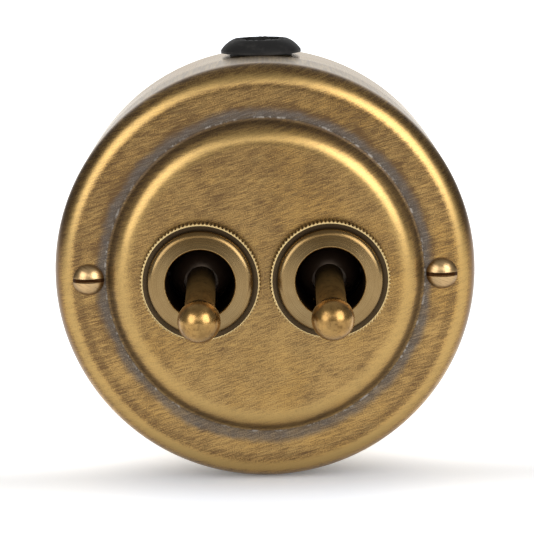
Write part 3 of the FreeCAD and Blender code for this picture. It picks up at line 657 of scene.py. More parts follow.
def aged_brass(colours):
    """Antique brass: brushed flats, brown mottling and grey patina in the crease, with a painted
    highlight on the rubbed crests, painted light towards the bottom right, and painted shade at the
    shoulder's foot, round the crease and at the rim's sides.
    """
    finish = Finish("aged_brass")
    spot = finish.spot()
    x, y, z = finish.parts(spot)
    radius = finish.span(x, z)
    marks = brushed(finish, spot)
    hairs = hairlines(finish, spot)
    blotch = finish.grain(spot, 170, detail=3, roughness=0.6)
    cloud = finish.grain(spot, 60, detail=2)
    speck = finish.grain(spot, 4200, detail=1)
    ragged = finish.grain(spot, 150, detail=6, roughness=0.72)
    broken = finish.grain(spot, 420, detail=4, roughness=0.65)
    dust = finish.grain(spot, 1300, detail=2).rises(0.44, 0.6)
    front = (0 - y).rises(*FRONT_FADE)
    low = (0 - z).rises(*LOW_FADE)
    wander = radius + (ragged - 0.5) * RAGGED_REACH + (cloud - 0.5) * CLOUD_REACH - low * LOW_REACH
    crease = wander.within(*CREASE_ZONE) * radius.rises(*CREASE_START) * front
    foot = (radius + (ragged - 0.5) * FOOT_REACH).within(*FOOT_ZONE) * front
    # Painted shade round the crease, stronger towards the top
    shade = (radius + (blotch - 0.5) * SHADE_REACH).within(*SHADE_ZONE) * z.rises(*SHADE_FADE)
    line = radius.within(*LINE_ZONE) * broken.rises(0.42, 0.6) * dust * front
    crest = radius.within(*SHOULDER_CREST) + radius.within(*RIM_CREST)
    hem = radius.within(*HEM_ZONE) * z.falls(*HEM_FADE)
    edge = radius.rises(*RIM_EDGE) * abs(z).falls(*EDGE_FADE)
    # Painted shade: the flats a little darker at the left and right
    flank = radius.within(*FLANK_ZONE) * abs(x).rises(*FLANK_FADE)
    # Painted light: the brass gets lighter towards the bottom right and darker towards the top left
    painted_light = (x * 0.3 - z * 0.9) / CASE_RADIUS
    tone = (marks * 0.7 + blotch * 0.3 + speck * 0.6 + crest * 0.1 + painted_light * 0.08
            - shade * 0.2 - flank * 0.02 - hem * 0.1 - 0.3)
    mid = finish.mix(cloud.rises(0.48, 0.7) * 0.4, colours.mid, colours.warm)
    base = finish.mix(tone.rises(0.28, 0.76), colours.brown, mid)
    base = finish.mix(hairs * 0.3, base, colours.bright)
    # Painted highlight over rubbed wear on the crests of the shoulder and the rim, stronger towards the
    # bottom as a painted reflection of the floor
    base = finish.mix(crest * (0.5 + low * 0.3), base, colours.bright)
    # Painted shade: the rim's outer edge browner at the left and right
    base = finish.mix(edge * 0.9, base, colours.brown)
    grey = finish.mix((marks + speck * 0.8).rises(0.75, 1.15) * 0.16, colours.crease, colours.scratch)
    base = finish.mix(crease * (0.5 + broken * 0.55), base, grey)
    # Dark patina and painted shade at the foot of the shoulder
    base = finish.mix(foot * 0.52, base, colours.dark)
    base = finish.mix(line * 0.6, base, colours.scratch)
    ticks = finish.grain(finish.stretched(spot, COVER_TICKS), detail=2, roughness=0.6)
    side = finish.mix(ticks.rises(0.35, 0.68) * 0.6 + 0.4, colours.brown, colours.side)
    base = finish.mix(front, side, base)
    rough = 0.25 + marks * 0.12 + crease * 0.2 + foot * 0.3 + crest * 0.04
    height = marks * 0.8 + speck * 0.35 + ticks * 0.3
    finish.set(Base_Color=base, Metallic=1.0, Roughness=rough, Coat_Weight=0.18 - edge * 0.18,
               Coat_Roughness=0.32, Normal=finish.bump(height, 0.016 * MM, 0.6))
    return finish.material


def box_brass(colours):
    """Smooth brass of the box behind the cover."""
    finish = Finish("box_brass")
    spot = finish.spot()
    cloud = finish.grain(spot, 90, detail=3, roughness=0.6)
    ticks = finish.grain(finish.stretched(spot, BOX_TICKS), detail=2)
    base = finish.mix(cloud.rises(0.3, 0.7) * 0.5, colours.side, colours.mid)
    base = finish.mix(ticks.rises(0.5, 0.8) * 0.35, base, colours.brown)
    finish.set(Base_Color=base, Metallic=1.0, Roughness=0.2 + cloud * 0.08,
               Normal=finish.bump(ticks, 0.006 * MM, 0.4))
    return finish.material


def ring_brass(colours):
    """Turned brass of the ring nuts, with concentric marks, grime and painted shade in the groove below
    the collar, painted shade on the collar's top and a painted highlight round the bore.
    """
    finish = Finish("ring_brass")
    spot = finish.spot()
    x, y, z = finish.parts(spot)
    radius = finish.span(abs(x) - GANG_ACROSS, z)
    marks = finish.rings(radius, RING_MARK_PITCH)
    cloud = finish.grain(spot, 240, detail=3)
    groove = radius.rises(*COLLAR_FOOT) * (0 - y).falls(*FLANGE_FRONT)
    shine = marks.rises(0.3, 0.7) * 0.5 + cloud * 0.4 + 0.1
    base = finish.mix(shine, colours.turned_deep, colours.nut)
    # Painted shade: each collar darker towards its top
    base = finish.mix(z.rises(*COLLAR_TOP) * 0.55, base, colours.turned_deep)
    # Painted highlight: a pale line round the bore's edge
    base = finish.mix(radius.falls(*BORE_EDGE) * 0.7, base, colours.worn)
    # Grime and painted shade in the groove below the collar
    base = finish.mix(groove * 0.78, base, colours.dirt)
    finish.set(Base_Color=base, Metallic=1.0, Roughness=0.21 + marks * 0.1 + groove * 0.25,
               Normal=finish.bump(marks, 0.009 * MM, 0.5))
    return finish.material


def knurl_brass(colours):
    """Rubbed tips of the knurl, a painted highlight along its front end, and painted shade along its
    sides and hollows.
    """
    finish = Finish("knurl_brass")
    spot = finish.spot()
    x, y, z = finish.parts(spot)
    radius = finish.span(abs(x) - GANG_ACROSS, z)
    tip = radius.rises(*KNURL_TIP)
    end = (0 - y).rises(*KNURL_FRONT)
    worn = finish.grain(spot, 900, detail=2)
    # Painted highlight on the ribs' front ends, rubbed wear on their tips, painted shade elsewhere
    base = finish.mix(end * 0.9 + tip * 0.3 + worn * 0.1, colours.dirt, colours.worn)
    finish.set(Base_Color=base, Metallic=1.0, Roughness=0.24 + worn * 0.08)
    return finish.material


def dolly_brass(colours):
    """Brass of the dollies: polished balls, dull shafts and fine rings left by the tool, with painted
    shade along the shafts, at their roots and under the balls.
    """
    finish = Finish("dolly_brass")
    spot = finish.spot()
    along = finish.parts(finish.node("ShaderNodeUVMap", {"uv_map": "turned"})[0])[1]
    marks = finish.rings(along, DOLLY_MARK_PITCH)
    cloud = finish.grain(spot, 330, detail=3, roughness=0.6)
    speck = finish.grain(spot, 1500, detail=2)
    shaft = along.within(*DOLLY_SHAFT)
    neck = along.within(*DOLLY_NECK)
    base = finish.mix(cloud.rises(0.35, 0.7) * 0.5 + marks * 0.12 + speck.rises(0.5, 0.7) * 0.3,
                      colours.turned, colours.turned_deep)
    # Painted shade: darker at the shaft's root in the bore, along the shaft and at the neck under the
    # ball
    base = finish.mix(along.falls(*DOLLY_ROOT) * 0.4 + shaft * 0.3 + neck * 0.5, base, colours.dirt)
    finish.set(Base_Color=base, Metallic=1.0, Roughness=0.2 + cloud * 0.10 + speck * 0.06 + shaft * 0.28,
               Coat_Weight=0.2 - shaft * 0.2, Coat_Roughness=0.2,
               Normal=finish.bump(marks * 0.6 + speck * 0.4, 0.006 * MM, 0.5))
    return finish.material


def screw_brass(colours, screw_across, slot_width):
    """Turned screw heads with handling scratches, darker towards the edge."""
    finish = Finish("screw_brass")
    spot = finish.spot()
    drawn = finish.stretched(spot, SCREW_SCRATCHES, SCREW_SCRATCH_RISE)
    scratch = finish.grain(drawn, detail=3)
    cloud = finish.grain(spot, 420, detail=3)
    x, _, z = finish.parts(spot)
    slot = abs(z).falls(slot_width * 0.42, slot_width * 0.5)
    edge = finish.span(abs(x) - screw_across, z).rises(*HEAD_EDGE)
    base = finish.mix(scratch.rises(0.42, 0.75) * 0.35 + cloud * 0.25 + edge * 0.5, colours.head,
                      colours.turned_deep)
    # Grime and painted shade in the slot
    base = finish.mix(slot, base, colours.slot)
    finish.set(Base_Color=base, Metallic=1.0, Roughness=0.27 + scratch * 0.12 + slot * 0.25,
               Coat_Weight=0.4 - slot * 0.4, Coat_Roughness=0.22,
               Normal=finish.bump(scratch, 0.008 * MM, 0.5))
    return finish.material


def inner_brass(colours):
    """Patchy darkened brass of the terminals and the other pieces inside the case."""
    finish = Finish("inner_brass")
    spot = finish.spot()
    cloud = finish.grain(spot, 300, detail=4, roughness=0.6)
    speck = finish.grain(spot, 2400, detail=1)
    base = finish.mix(cloud.rises(0.35, 0.7), colours.inner, colours.wire)
    finish.set(Base_Color=base, Metallic=1.0, Roughness=0.3 + cloud * 0.15,
               Normal=finish.bump(speck, 0.006 * MM, 0.4))
    return finish.material


def bush_brass(colours):
    """The near-black bush behind each ring nut."""
    finish = Finish("bush_brass")
    spot = finish.spot()
    cloud = finish.grain(spot, 260, detail=3)
    base = finish.mix(cloud.rises(0.4, 0.75) * 0.5, colours.bush, colours.inner)
    finish.set(Base_Color=base, Metallic=1.0, Roughness=0.55 + cloud * 0.15)
    return finish.material


def plain_metal(name, base, rough):
    """Plated metal with a faint drawn grain."""
    finish = Finish(name)
    spot = finish.spot()
    drawn = finish.grain(finish.stretched(spot, DRAWN_GRAIN), detail=2)
    cloud = finish.grain(spot, 200, detail=3)
    dull = tuple(part * 0.62 for part in base)
    finish.set(Base_Color=finish.mix(drawn * 0.4 + cloud * 0.3, base, dull), Metallic=1.0,
               Roughness=rough + drawn * 0.12, Normal=finish.bump(drawn, 0.006 * MM, 0.4))
    return finish.material


def black_moulding(colours):
    """Dark moulded plastic with a fine moulded texture."""
    finish = Finish("black_moulding")
    spot = finish.spot()
    pores = finish.grain(spot, 2600, detail=2)
    cloud = finish.grain(spot, 260, detail=3)
    base = finish.mix(cloud * 0.6, colours.moulding, colours.moulding_deep)
    finish.set(Base_Color=base, Roughness=0.26 + pores * 0.14,
               Normal=finish.bump(pores, 0.008 * MM, 0.4))
    return finish.material


HUB_SHEEN = (1.0, 0.8, 0.62)


def hub_moulding(colours):
    """Satin dark moulding of the hubs."""
    finish = Finish("hub_moulding")
    cloud = finish.grain(finish.spot(), 320, detail=3)
    base = finish.mix(cloud * 0.5, colours.hub, colours.moulding)
    finish.set(Base_Color=base, Specular_IOR_Level=1.0, Specular_Tint=HUB_SHEEN,
               Roughness=0.27 + cloud * 0.12)
    return finish.material


def black_rubber(colours):
    """Matt rubber with dust in its pores."""
    finish = Finish("black_rubber")
    spot = finish.spot()
    pores = finish.grain(spot, 1500, detail=3, roughness=0.6)
    dust = finish.grain(spot, 420, detail=4, roughness=0.65)
    base = finish.mix(dust.rises(0.5, 0.8) * 0.2, colours.rubber, colours.dust)
    finish.set(Base_Color=base, Specular_IOR_Level=0.3, Roughness=0.44 + pores * 0.2,
               Normal=finish.bump(pores, 0.02 * MM, 0.5))
    return finish.material


# Pieces

class SWITCH_OT_case(bpy.types.Operator):
    """Spins the front cover and the back box and drills them"""

    bl_idname = "switch.build_case"
    bl_label = "Case"

    def execute(self, context):
        sizes = context.scene.switch_case
        colours = context.scene.switch_brass
        self.cover(sizes, aged_brass(colours))
        self.box(sizes, box_brass(colours))
        return {"FINISHED"}

    def cover(self, sizes, finish):
        flat_out = DISC_OUT - sizes.disc_step
        inner = CASE_RADIUS - sizes.sheet
        bisector = math.tan(sizes.shoulder_slope / 2)
        foot = sizes.crease_radius - sizes.crease_round * bisector
        shoulder = foot - sizes.disc_step / math.tan(sizes.shoulder_slope)
        inset = sizes.sheet * bisector
        profile = rounded([
            (0, DISC_OUT),
            (shoulder, DISC_OUT, sizes.shoulder_round),
            (foot, flat_out, sizes.crease_round),
            (CASE_RADIUS, flat_out, sizes.rim_round),
            (CASE_RADIUS, SEAM_OUT),
            (inner, SEAM_OUT),
            (inner, flat_out - sizes.sheet, sizes.rim_round - sizes.sheet),
            (foot - inset, flat_out - sizes.sheet, sizes.crease_round + sizes.sheet),
            (shoulder - inset, DISC_OUT - sizes.sheet, sizes.shoulder_round - sizes.sheet),
            (0, DISC_OUT - sizes.sheet),
        ])
        piece = new_object("case_cover", turned_mesh("case_cover", profile, axis_frame(Vector())))
        deep = DISC_OUT - 6 * sizes.sheet
        proud = DISC_OUT + sizes.sheet
        spots = [(GANG_ACROSS, sizes.bush_hole), (sizes.screw_across, sizes.screw_hole)]
        holes = [(facing(sign * across, deep, 0), facing(sign * across, proud, 0), radius)
                 for sign in (-1, 1) for across, radius in spots]
        smooth(drill(piece, holes))
        dress(piece, finish, "case", "aged_brass", "front_cover")

    def box(self, sizes, finish):
        inner = CASE_RADIUS - sizes.sheet
        lip_outer = inner - sizes.lip_clearance
        lip_inner = lip_outer - sizes.sheet
        lip_out = SEAM_OUT + sizes.lip_length
        profile = rounded([
            (0, 0),
            (CASE_RADIUS, 0, sizes.back_round),
            (CASE_RADIUS, SEAM_OUT),
            (lip_outer, SEAM_OUT),
            (lip_outer, lip_out),
            (lip_inner, lip_out),
            (lip_inner, SEAM_OUT - sizes.sheet),
            (inner, SEAM_OUT - sizes.sheet),
            (inner, sizes.sheet),
            (0, sizes.sheet),
        ])
        piece = new_object("case_box", turned_mesh("case_box", profile, axis_frame(Vector())))
        deep = -sizes.sheet
        proud = 3 * sizes.sheet
        spots = [(0, sizes.fixing_up, sizes.fixing_hole), (0, -sizes.fixing_up, sizes.fixing_hole),
                 (sizes.screw_across, 0, sizes.rivet_hole), (-sizes.screw_across, 0, sizes.rivet_hole),
                 (EARTH_ACROSS, EARTH_UP, sizes.rivet_hole)]
        holes = [(facing(across, deep, up), facing(across, proud, up), radius)
                 for across, up, radius in spots]
        holes.append((facing(0, GROMMET_OUT, CASE_RADIUS / 2),
                      facing(0, GROMMET_OUT, CASE_RADIUS + proud), sizes.cable_hole))
        smooth(drill(piece, holes))
        dress(piece, finish, "case", "aged_brass", "back_box")


class SWITCH_OT_ring_nuts(bpy.types.Operator):
    """Turns the two ring nuts and sets their knurls round them"""

    bl_idname = "switch.build_ring_nuts"
    bl_label = "Ring nuts"

    def execute(self, context):
        sizes = context.scene.switch_gang
        colours = context.scene.switch_brass
        finish = ring_brass(colours)
        root = RING_RADIUS - sizes.knurl_depth
        slope = sizes.ring_dish / (RING_RADIUS - sizes.collar_radius)
        profile = rounded([
            (sizes.ring_thread, 0),
            (root, 0),
            (root, sizes.ring_flange - slope * sizes.knurl_depth),
            (sizes.collar_radius, sizes.ring_flange - sizes.ring_dish),
            (sizes.collar_radius, RING_HEIGHT - sizes.collar_crown, sizes.collar_round),
            (sizes.bore_radius, RING_HEIGHT, sizes.bore_round),
            (sizes.bore_radius, RING_HEIGHT - sizes.ring_lip),
            (sizes.ring_thread, RING_HEIGHT - sizes.ring_lip),
        ])
        for side, across in GANGS.items():
            name = side + "_ring"
            piece = new_object(name, turned_mesh(name, profile, axis_frame(facing(across, DISC_OUT, 0))))
            dress(smooth(piece), finish, "case", "turned_brass", side + "_ring_nut")
        self.knurls(sizes, root, knurl_brass(colours))
        return {"FINISHED"}

    def knurls(self, sizes, root, finish):
        rib = new_object("knurl_rib", self.rib_mesh(sizes, root))
        piece = new_object("ring_knurls", bpy.data.meshes.new("ring_knurls"))
        grow(piece, knurl_tree(), {"Rib": rib, "Count": sizes.knurl_count, "Root": root,
                                   "Across": GANG_ACROSS, "Out": DISC_OUT, "Finish": finish})
        bpy.data.objects.remove(rib)
        piece.data.shade_flat()
        dress(piece, finish, "case", "turned_brass", "left_ring_nut", "right_ring_nut")

    def rib_mesh(self, sizes, root):
        """One rib standing out along +X from its root, with its length along +Z."""
        foot = math.pi * root / sizes.knurl_count
        land = sizes.knurl_land / 2
        tip = sizes.knurl_depth
        front = sizes.ring_flange
        ease = sizes.knurl_chamfer
        buried = -ease
        section = [(buried, -foot), (0, -foot), (tip, -land), (tip, land), (0, foot), (buried, foot)]
        builder = bmesh.new()
        rows = []
        for out, drop in ((0.0, 0.0), (front - ease, 0.0), (front, ease)):
            row = []
            for depth, across in section:
                back = 0.0 if depth > 0 else drop / 2
                row.append(builder.verts.new((min(depth, tip - drop), across, out - back)))
            rows.append(row)
        for low, high in zip(rows, rows[1:]):
            for k in range(len(section)):
                following = (k + 1) % len(section)
                builder.faces.new((low[k], low[following], high[following], high[k]))
        builder.faces.new(reversed(rows[0]))
        builder.faces.new(rows[-1])
        bmesh.ops.recalc_face_normals(builder, faces=builder.faces)
        return mesh_from("knurl_rib", builder)


def new_tree(name, inputs):
    """An empty geometry tree with named inputs and one output."""
    tree = bpy.data.node_groups.new(name, "GeometryNodeTree")
    for title, kind in inputs.items():
        tree.interface.new_socket(title, in_out="INPUT", socket_type="NodeSocket" + kind)
    tree.interface.new_socket("Geometry", in_out="OUTPUT", socket_type="NodeSocketGeometry")
    graph = Graph(tree)
    return graph, graph.node("NodeGroupInput")


def close_tree(graph, instances, finish):
    """Ends a tree: makes its instances real and gives them their material."""
    real = graph.node("GeometryNodeRealizeInstances", sockets={0: instances})[0]
    dressed = graph.node("GeometryNodeSetMaterial", sockets={"Geometry": real, "Material": finish})[0]
    graph.node("NodeGroupOutput", sockets={0: dressed})
    return graph.tree


def pair_of_places(graph, given):
    """Two points on the case's front, at equal distances left and right of the middle."""
    across, out = given["Across"], given["Out"]
    start = graph.join(0 - across, 0 - out, 0.0)
    step = graph.join(across * 2, 0.0, 0.0)
    return graph.node("GeometryNodeMeshLine", {"mode": "OFFSET"}, {
        "Count": 2, "Start Location": start, "Offset": step})[0]


def on_pair(graph, given, shape):
    """Sets a shape, drawn with its front along +Z, on both places and facing out of the wall."""
    facing_out = graph.node("FunctionNodeEulerToRotation", sockets={0: (math.pi / 2, 0, 0)})[0]
    return graph.node("GeometryNodeInstanceOnPoints", sockets={
        "Points": pair_of_places(graph, given), "Instance": shape, "Rotation": facing_out})[0]


def knurl_tree():
    """Ribs round a circle, and that circle on both gangs."""
    graph, given = new_tree("knurl_ribs", {"Rib": "Object", "Count": "Int", "Root": "Float",
                                           "Across": "Float", "Out": "Float", "Finish": "Material"})
    circle = graph.node("GeometryNodeMeshCircle", sockets={
        "Vertices": given["Count"], "Radius": given["Root"]})[0]
    turn = graph.node("GeometryNodeInputIndex")[0] * (2 * math.pi) / given["Count"]
    rotation = graph.node("FunctionNodeEulerToRotation", sockets={0: graph.join(0.0, 0.0, turn)})[0]
    rib = graph.node("GeometryNodeObjectInfo", sockets={"Object": given["Rib"]})["Geometry"]
    ring = graph.node("GeometryNodeInstanceOnPoints", sockets={
        "Points": circle, "Instance": rib, "Rotation": rotation})[0]
    return close_tree(graph, on_pair(graph, given, ring), given["Finish"])


def screw_tree():
    """One screw on both of its places."""
    graph, given = new_tree("cover_screws", {"Screw": "Object", "Across": "Float", "Out": "Float",
                                             "Finish": "Material"})
    screw = graph.node("GeometryNodeObjectInfo", sockets={"Object": given["Screw"]})["Geometry"]
    return close_tree(graph, on_pair(graph, given, screw), given["Finish"])


def grow(piece, tree, values):
    """Runs a geometry tree on a piece and keeps its result as a plain mesh."""
    modifier = piece.modifiers.new("grow", "NODES")
    modifier.node_group = tree
    for item in tree.interface.items_tree:
        if item.in_out == "INPUT":
            modifier[item.identifier] = values[item.name]
    settle(piece)


class SWITCH_OT_screws(bpy.types.Operator):
    """Turns a slotted screw and sets it on both sides of the cover"""

    bl_idname = "switch.build_screws"
    bl_label = "Cover screws"

    def execute(self, context):
        sizes = context.scene.switch_screw
        case = context.scene.switch_case
        finish = screw_brass(context.scene.switch_brass, case.screw_across, sizes.slot_width)
        rise = sizes.head_height - sizes.head_edge
        dome = (sizes.head_radius ** 2 + rise ** 2) / (2 * rise)
        centre = (0.0, sizes.head_height - dome)
        start = math.atan2(sizes.head_edge - centre[1], sizes.head_radius)
        profile = [Vector((0, -sizes.shank_length)), Vector((sizes.shank_radius, -sizes.shank_length)),
                   Vector((sizes.shank_radius, 0)), Vector((sizes.head_radius, 0))]
        profile += arc(centre, dome, start, math.pi / 2)
        profile[-1] = Vector((0, sizes.head_height))
        screw = new_object("screw", turned_mesh("screw", profile, Matrix.Identity(4), SCREW_SEGMENTS))
        cutter = bmesh.new()
        bmesh.ops.create_cube(cutter, size=1.0, matrix=Matrix.Translation((0, 0, sizes.head_height))
                              @ Matrix.Diagonal((4 * sizes.head_radius, sizes.slot_width,
                                                 2 * sizes.slot_depth, 1)))
        carve(screw, new_object("slot", mesh_from("slot", cutter)))
        piece = new_object("case_screws", bpy.data.meshes.new("case_screws"))
        grow(piece, screw_tree(), {"Screw": screw, "Across": case.screw_across,
                                   "Out": DISC_OUT - case.disc_step, "Finish": finish})
        bpy.data.objects.remove(screw)
        dress(smooth(piece), finish, "case", "turned_brass", "cover_screws")
        return {"FINISHED"}


class SWITCH_OT_dollies(bpy.types.Operator):
    """Turns the two ball-ended dollies"""

    bl_idname = "switch.build_dollies"
    bl_label = "Dollies"

    def execute(self, context):
        sizes = context.scene.switch_gang
        finish = dolly_brass(context.scene.switch_brass)
        neck_turn = -math.acos(sizes.neck_radius / sizes.ball_radius)
        flat_turn = math.acos(sizes.flat_radius / sizes.ball_radius)
        ball = arc((0, sizes.ball_reach), sizes.ball_radius, neck_turn, flat_turn, 4 * ARC_STEPS)
        shaft = rounded([(0, sizes.stem_start), (sizes.stem_radius, sizes.stem_start),
                         (sizes.stem_radius, sizes.root_reach), (sizes.root_radius, sizes.root_reach),
                         (ball[0].x, ball[0].y)])
        shaft = shaft[:[point == ball[0] for point in shaft].index(True)]
        profile = shaft + ball + [Vector((0, ball[-1].y))]
        for side, across in GANGS.items():
            name = side + "_lever"
            place = axis_frame(facing(across, PIVOT_OUT, 0), sizes.dolly_tilt)
            piece = new_object(name, turned_mesh(name, profile, place, DOLLY_SEGMENTS))
            dress(smooth(piece), finish, side + "_toggle", "turned_brass", side + "_dolly")
        return {"FINISHED"}


TEAR_SIZE = 1.1 * MM


class SWITCH_OT_grommet(bpy.types.Operator):
    """Turns the rubber grommet and tears its top rim"""

    bl_idname = "switch.build_grommet"
    bl_label = "Cable grommet"

    def execute(self, context):
        sizes = context.scene.switch_grommet
        edge = sizes.seat + sizes.flange_edge
        low = Vector((sizes.flange_radius, edge))
        high = Vector((sizes.top_radius, GROMMET_TOP))
        middle = (low + high) / 2
        chord = high - low
        inward = Vector((-chord.y, chord.x)).normalized()
        centre = middle + inward * math.sqrt(sizes.dome_radius ** 2 - chord.length_squared / 4)
        start = math.atan2(low.y - centre.y, low.x - centre.x)
        end = math.atan2(high.y - centre.y, high.x - centre.x)
        profile = rounded([
            (sizes.bore, GROMMET_TOP),
            (sizes.bore, sizes.inner_bottom),
            (sizes.inner_radius, sizes.inner_bottom),
            (sizes.inner_radius, sizes.inner_top),
            (sizes.neck, sizes.inner_top),
            (sizes.neck, sizes.seat),
            (sizes.flange_radius, sizes.seat),
        ])[:-2] + arc(centre, sizes.dome_radius, start, end)
        place = Matrix.Translation(facing(0, GROMMET_OUT, 0))
        mesh = turned_mesh("case_grommet", profile, place, GROMMET_SEGMENTS)
        piece = new_object("case_grommet", mesh)
        self.tear(piece.data, sizes)
        dress(smooth(piece), black_rubber(context.scene.switch_other), "case", "black_rubber",
              "cable_grommet")
        return {"FINISHED"}

    def tear(self, mesh, sizes):
        """Lowers the top rim unevenly, never above its moulded height."""
        for vertex in mesh.vertices:
            if vertex.co.z < GROMMET_TOP - MERGE_DISTANCE:
                continue
            rough = 0.4 + 0.6 * noise.fractal(vertex.co / TEAR_SIZE, 0.7, 2.0, 4)
            vertex.co.z -= sizes.tear * min(max(rough, 0.0), 1.0)


class SWITCH_OT_springs(bpy.types.Operator):
    """Copies each CAD spring, merged and smoothed, with a steel finish"""

    bl_idname = "switch.build_springs"
    bl_label = "Springs"

    def execute(self, context):
        finish = plain_metal("spring_steel", tuple(context.scene.switch_other.steel), 0.24)
        for side, across in GANGS.items():
            piece = new_object(side + "_coil", self.merged(side + "_spring"))
            smooth(piece).data.materials.append(finish)
            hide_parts(side + "_spring")
            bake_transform(piece)
        return {"FINISHED"}

    def merged(self, node):
        """A copy of a CAD node's mesh with its triangles joined."""
        builder = bmesh.new()
        builder.from_mesh(frame["nodes"][node].data)
        bmesh.ops.remove_doubles(builder, verts=builder.verts, dist=MERGE_DISTANCE)
        mesh = mesh_from(node, builder)
        mesh.materials.clear()
        return mesh


class SWITCH_OT_inner(bpy.types.Operator):
    """Finishes the CAD pieces that show as they are"""

    bl_idname = "switch.finish_inner"
    bl_label = "Inner pieces"

    def execute(self, context):
        brass = context.scene.switch_brass
        other = context.scene.switch_other
        finishes = {
            "inner_brass": inner_brass(brass),
            "steel": plain_metal("steel", tuple(other.steel), 0.28),
            "black_moulding": black_moulding(other),
            "silver": plain_metal("silver", tuple(other.silver), 0.2),
        }
        special = {"_bush": bush_brass(brass), "_dolly_hub": hub_moulding(other),
                   "_pivot_pin": plain_metal("dark_steel", tuple(other.pin), 0.45)}
        for part in frame["record"]["subparts"]:
            node = frame["nodes"][part["node"]]
            if node.hide_render:
                continue
            finish = finishes[part["material_slot"]]
            for ending, own in special.items():
                if part["node"].endswith(ending):
                    finish = own
            node.data.materials.clear()
            node.data.materials.append(finish)
        return {"FINISHED"}


# Stage: the floor's zones round the case and the sides that the lamps shine from

FLOOR_BEHIND = (-36 * MM, -14 * MM)
FLOOR_AHEAD = (36 * MM, 56 * MM)
FLOOR_BESIDE = (12 * MM, 45 * MM)
LEFT_LAMP_SIDE = Vector((-0.6, -0.7, 0.36))
RIGHT_LAMP_SIDE = Vector((0.57, -0.72, 0.4))
STRIP_SIDE = Vector((0.1, -0.86, 0.42))
SENSOR_WIDTH = 36.0


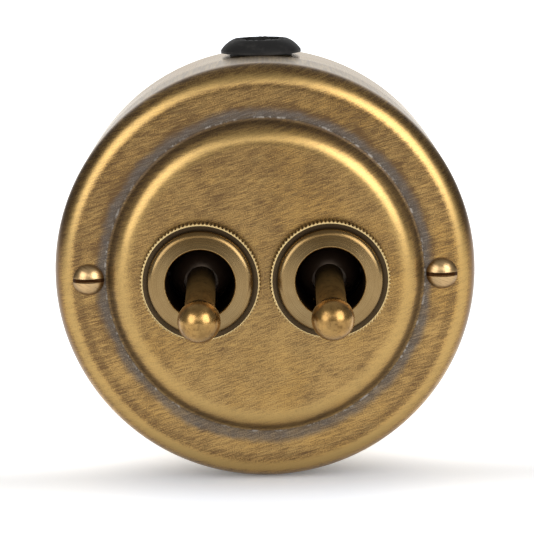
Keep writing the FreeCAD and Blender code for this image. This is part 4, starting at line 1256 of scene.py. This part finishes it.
class SWITCH_OT_stage(bpy.types.Operator):
    """Sets the floor, cards, lamps, world and camera"""

    bl_idname = "switch.build_stage"
    bl_label = "Stage"

    def execute(self, context):
        sizes = context.scene.switch_stage
        context.scene.view_settings.view_transform = "Standard"
        self.floor(sizes)
        self.cards(sizes)
        self.world(context.scene)
        self.lamps(sizes)
        self.camera(context.scene, sizes)
        return {"FINISHED"}

    def seen_white(self, graph):
        """1 for rays that show the background: from the camera, or off metal and glass."""
        path = graph.node("ShaderNodeLightPath")
        shown = graph.math("MAXIMUM", path["Is Camera Ray"], path["Is Glossy Ray"])
        return graph.math("MAXIMUM", shown, path["Is Transmission Ray"])

    def plane(self, name, width, place):
        builder = bmesh.new()
        bmesh.ops.create_grid(builder, x_segments=1, y_segments=1, size=width / 2, matrix=place)
        piece = new_object(name, mesh_from(name, builder))
        return piece

    def floor(self, sizes):
        finish = Finish("pale_floor")
        spot = finish.spot()
        speck = finish.grain(spot, 40, detail=2)
        x, y, _ = finish.parts(spot)
        beside = abs(x).rises(*FLOOR_BESIDE)
        # Painted light: the floor glows for camera and glossy rays, more behind, ahead of and beside the
        # case, so its shadow stays close in front
        painted_light = (y.rises(*FLOOR_BEHIND) * sizes.behind_glow
                + (0 - y).rises(*FLOOR_AHEAD) * sizes.ahead_glow
                + beside * sizes.beside_glow + sizes.floor_lift)
        # Painted cool tint near the case, which cancels the warm light the brass throws into the shadow
        tone = finish.mix(beside + speck * 0.05, sizes.floor_shade, sizes.floor_tone)
        glow = self.seen_white(finish) * painted_light
        finish.set(Base_Color=tone, Roughness=1.0, Specular_IOR_Level=0.0,
                   Emission_Color=finish.mix(glow, (0, 0, 0), (1, 1, 1)), Emission_Strength=1.0)
        place = Matrix.Translation((0, 0, -CASE_RADIUS))
        self.plane("floor", sizes.floor_width, place).data.materials.append(finish.material)

    def cards(self, sizes):
        """Grey cards in front, above and beside the case, which only the polished brass shows."""
        width = 3 * sizes.card_distance
        for name, grey, toward in (("front_card", sizes.front_card, Vector((0, -1, 0))),
                                   ("top_card", sizes.top_card, Vector((0, 0, 1))),
                                   ("left_card", sizes.side_card, Vector((-1, 0, 0))),
                                   ("right_card", sizes.side_card, Vector((1, 0, 0)))):
            finish = Finish(name)
            finish.set(Base_Color=(0, 0, 0), Roughness=1.0, Emission_Color=(grey, grey, grey),
                       Emission_Strength=1.0)
            turn = toward.to_track_quat("Z", "Y").to_matrix().to_4x4()
            card = self.plane(name, width, Matrix.Translation(toward * sizes.card_distance) @ turn)
            card.data.materials.append(finish.material)
            card.visible_camera = False
            card.visible_diffuse = False
            card.visible_shadow = False

    def world(self, scene):
        """Even white light from all round, which is also the white background."""
        world = bpy.data.worlds.new("studio")
        world.use_nodes = True
        graph = Graph(world.node_tree)
        background = graph.tree.nodes["Background"]
        graph.feed(background, "Color", (1, 1, 1))
        graph.feed(background, "Strength", 1.0)
        scene.world = world

    def lamps(self, sizes):
        """Softboxes left and right and a strip above, which leave the floor to the world's light."""
        softbox = (sizes.softbox_width, sizes.softbox_height)
        strip = (sizes.strip_width, sizes.strip_height)
        for name, power, direction, (width, height) in (
                ("left_softbox", sizes.left_power, LEFT_LAMP_SIDE, softbox),
                ("right_softbox", sizes.right_power, RIGHT_LAMP_SIDE, softbox),
                ("top_strip", sizes.top_power, STRIP_SIDE, strip)):
            lamp = bpy.data.lights.new(name, "AREA")
            lamp.shape = "RECTANGLE"
            lamp.size = width
            lamp.size_y = height
            lamp.energy = power
            holder = new_object(name, lamp)
            holder.visible_diffuse = False
            holder.location = direction.normalized() * sizes.lamp_distance
            holder.rotation_euler = direction.to_track_quat("Z", "Y").to_euler()

    def camera(self, scene, sizes):
        camera = bpy.data.cameras.new("camera")
        camera.lens = sizes.focal
        camera.sensor_width = SENSOR_WIDTH
        camera.shift_x = sizes.shift_x
        camera.shift_y = sizes.shift_y
        holder = new_object("camera", camera)
        toward = Vector((0, -math.cos(sizes.camera_height), math.sin(sizes.camera_height)))
        holder.location = facing(0, sizes.rim_out, 0) + toward * sizes.camera_distance
        aim = toward.to_track_quat("Z", "Y") @ Quaternion((0, 0, 1), sizes.camera_roll)
        holder.rotation_euler = aim.to_euler()
        scene.camera = holder


OPERATORS = (SWITCH_OT_case, SWITCH_OT_ring_nuts, SWITCH_OT_screws, SWITCH_OT_dollies,
             SWITCH_OT_grommet, SWITCH_OT_springs, SWITCH_OT_inner, SWITCH_OT_stage)


class SWITCH_PT_panel(bpy.types.Panel):
    """Lists the steps that build the switch"""

    bl_label = "Dolly switch"
    bl_idname = "SWITCH_PT_panel"
    bl_space_type = "VIEW_3D"
    bl_region_type = "UI"
    bl_category = "Dolly switch"

    def draw(self, context):
        for operator in OPERATORS:
            self.layout.operator(operator.bl_idname)


GROUPS = {"switch_case": CaseSizes, "switch_gang": GangSizes, "switch_screw": ScrewSizes,
          "switch_grommet": GrommetSizes, "switch_brass": BrassColours, "switch_other": OtherColours,
          "switch_stage": StageSizes}


def label(group):
    """Names each property of a group after its identifier."""
    for identifier, held in group.__annotations__.items():
        held.keywords["name"] = identifier.replace("_", " ").capitalize()


def register():
    for name, group in GROUPS.items():
        label(group)
        bpy.utils.register_class(group)
        setattr(bpy.types.Scene, name, PointerProperty(type=group))
    for operator in OPERATORS:
        bpy.utils.register_class(operator)
    bpy.utils.register_class(SWITCH_PT_panel)


def unregister():
    bpy.utils.unregister_class(SWITCH_PT_panel)
    for operator in reversed(OPERATORS):
        bpy.utils.unregister_class(operator)
    for name in GROUPS:
        delattr(bpy.types.Scene, name)
    for group in reversed(GROUPS.values()):
        bpy.utils.unregister_class(group)


def main():
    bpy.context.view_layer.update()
    register()
    bpy.ops.switch.build_case()
    bpy.ops.switch.build_ring_nuts()
    bpy.ops.switch.build_screws()
    bpy.ops.switch.build_dollies()
    bpy.ops.switch.build_grommet()
    bpy.ops.switch.build_springs()
    bpy.ops.switch.finish_inner()
    bpy.ops.switch.build_stage()


if __name__ == "__main__":
    main()
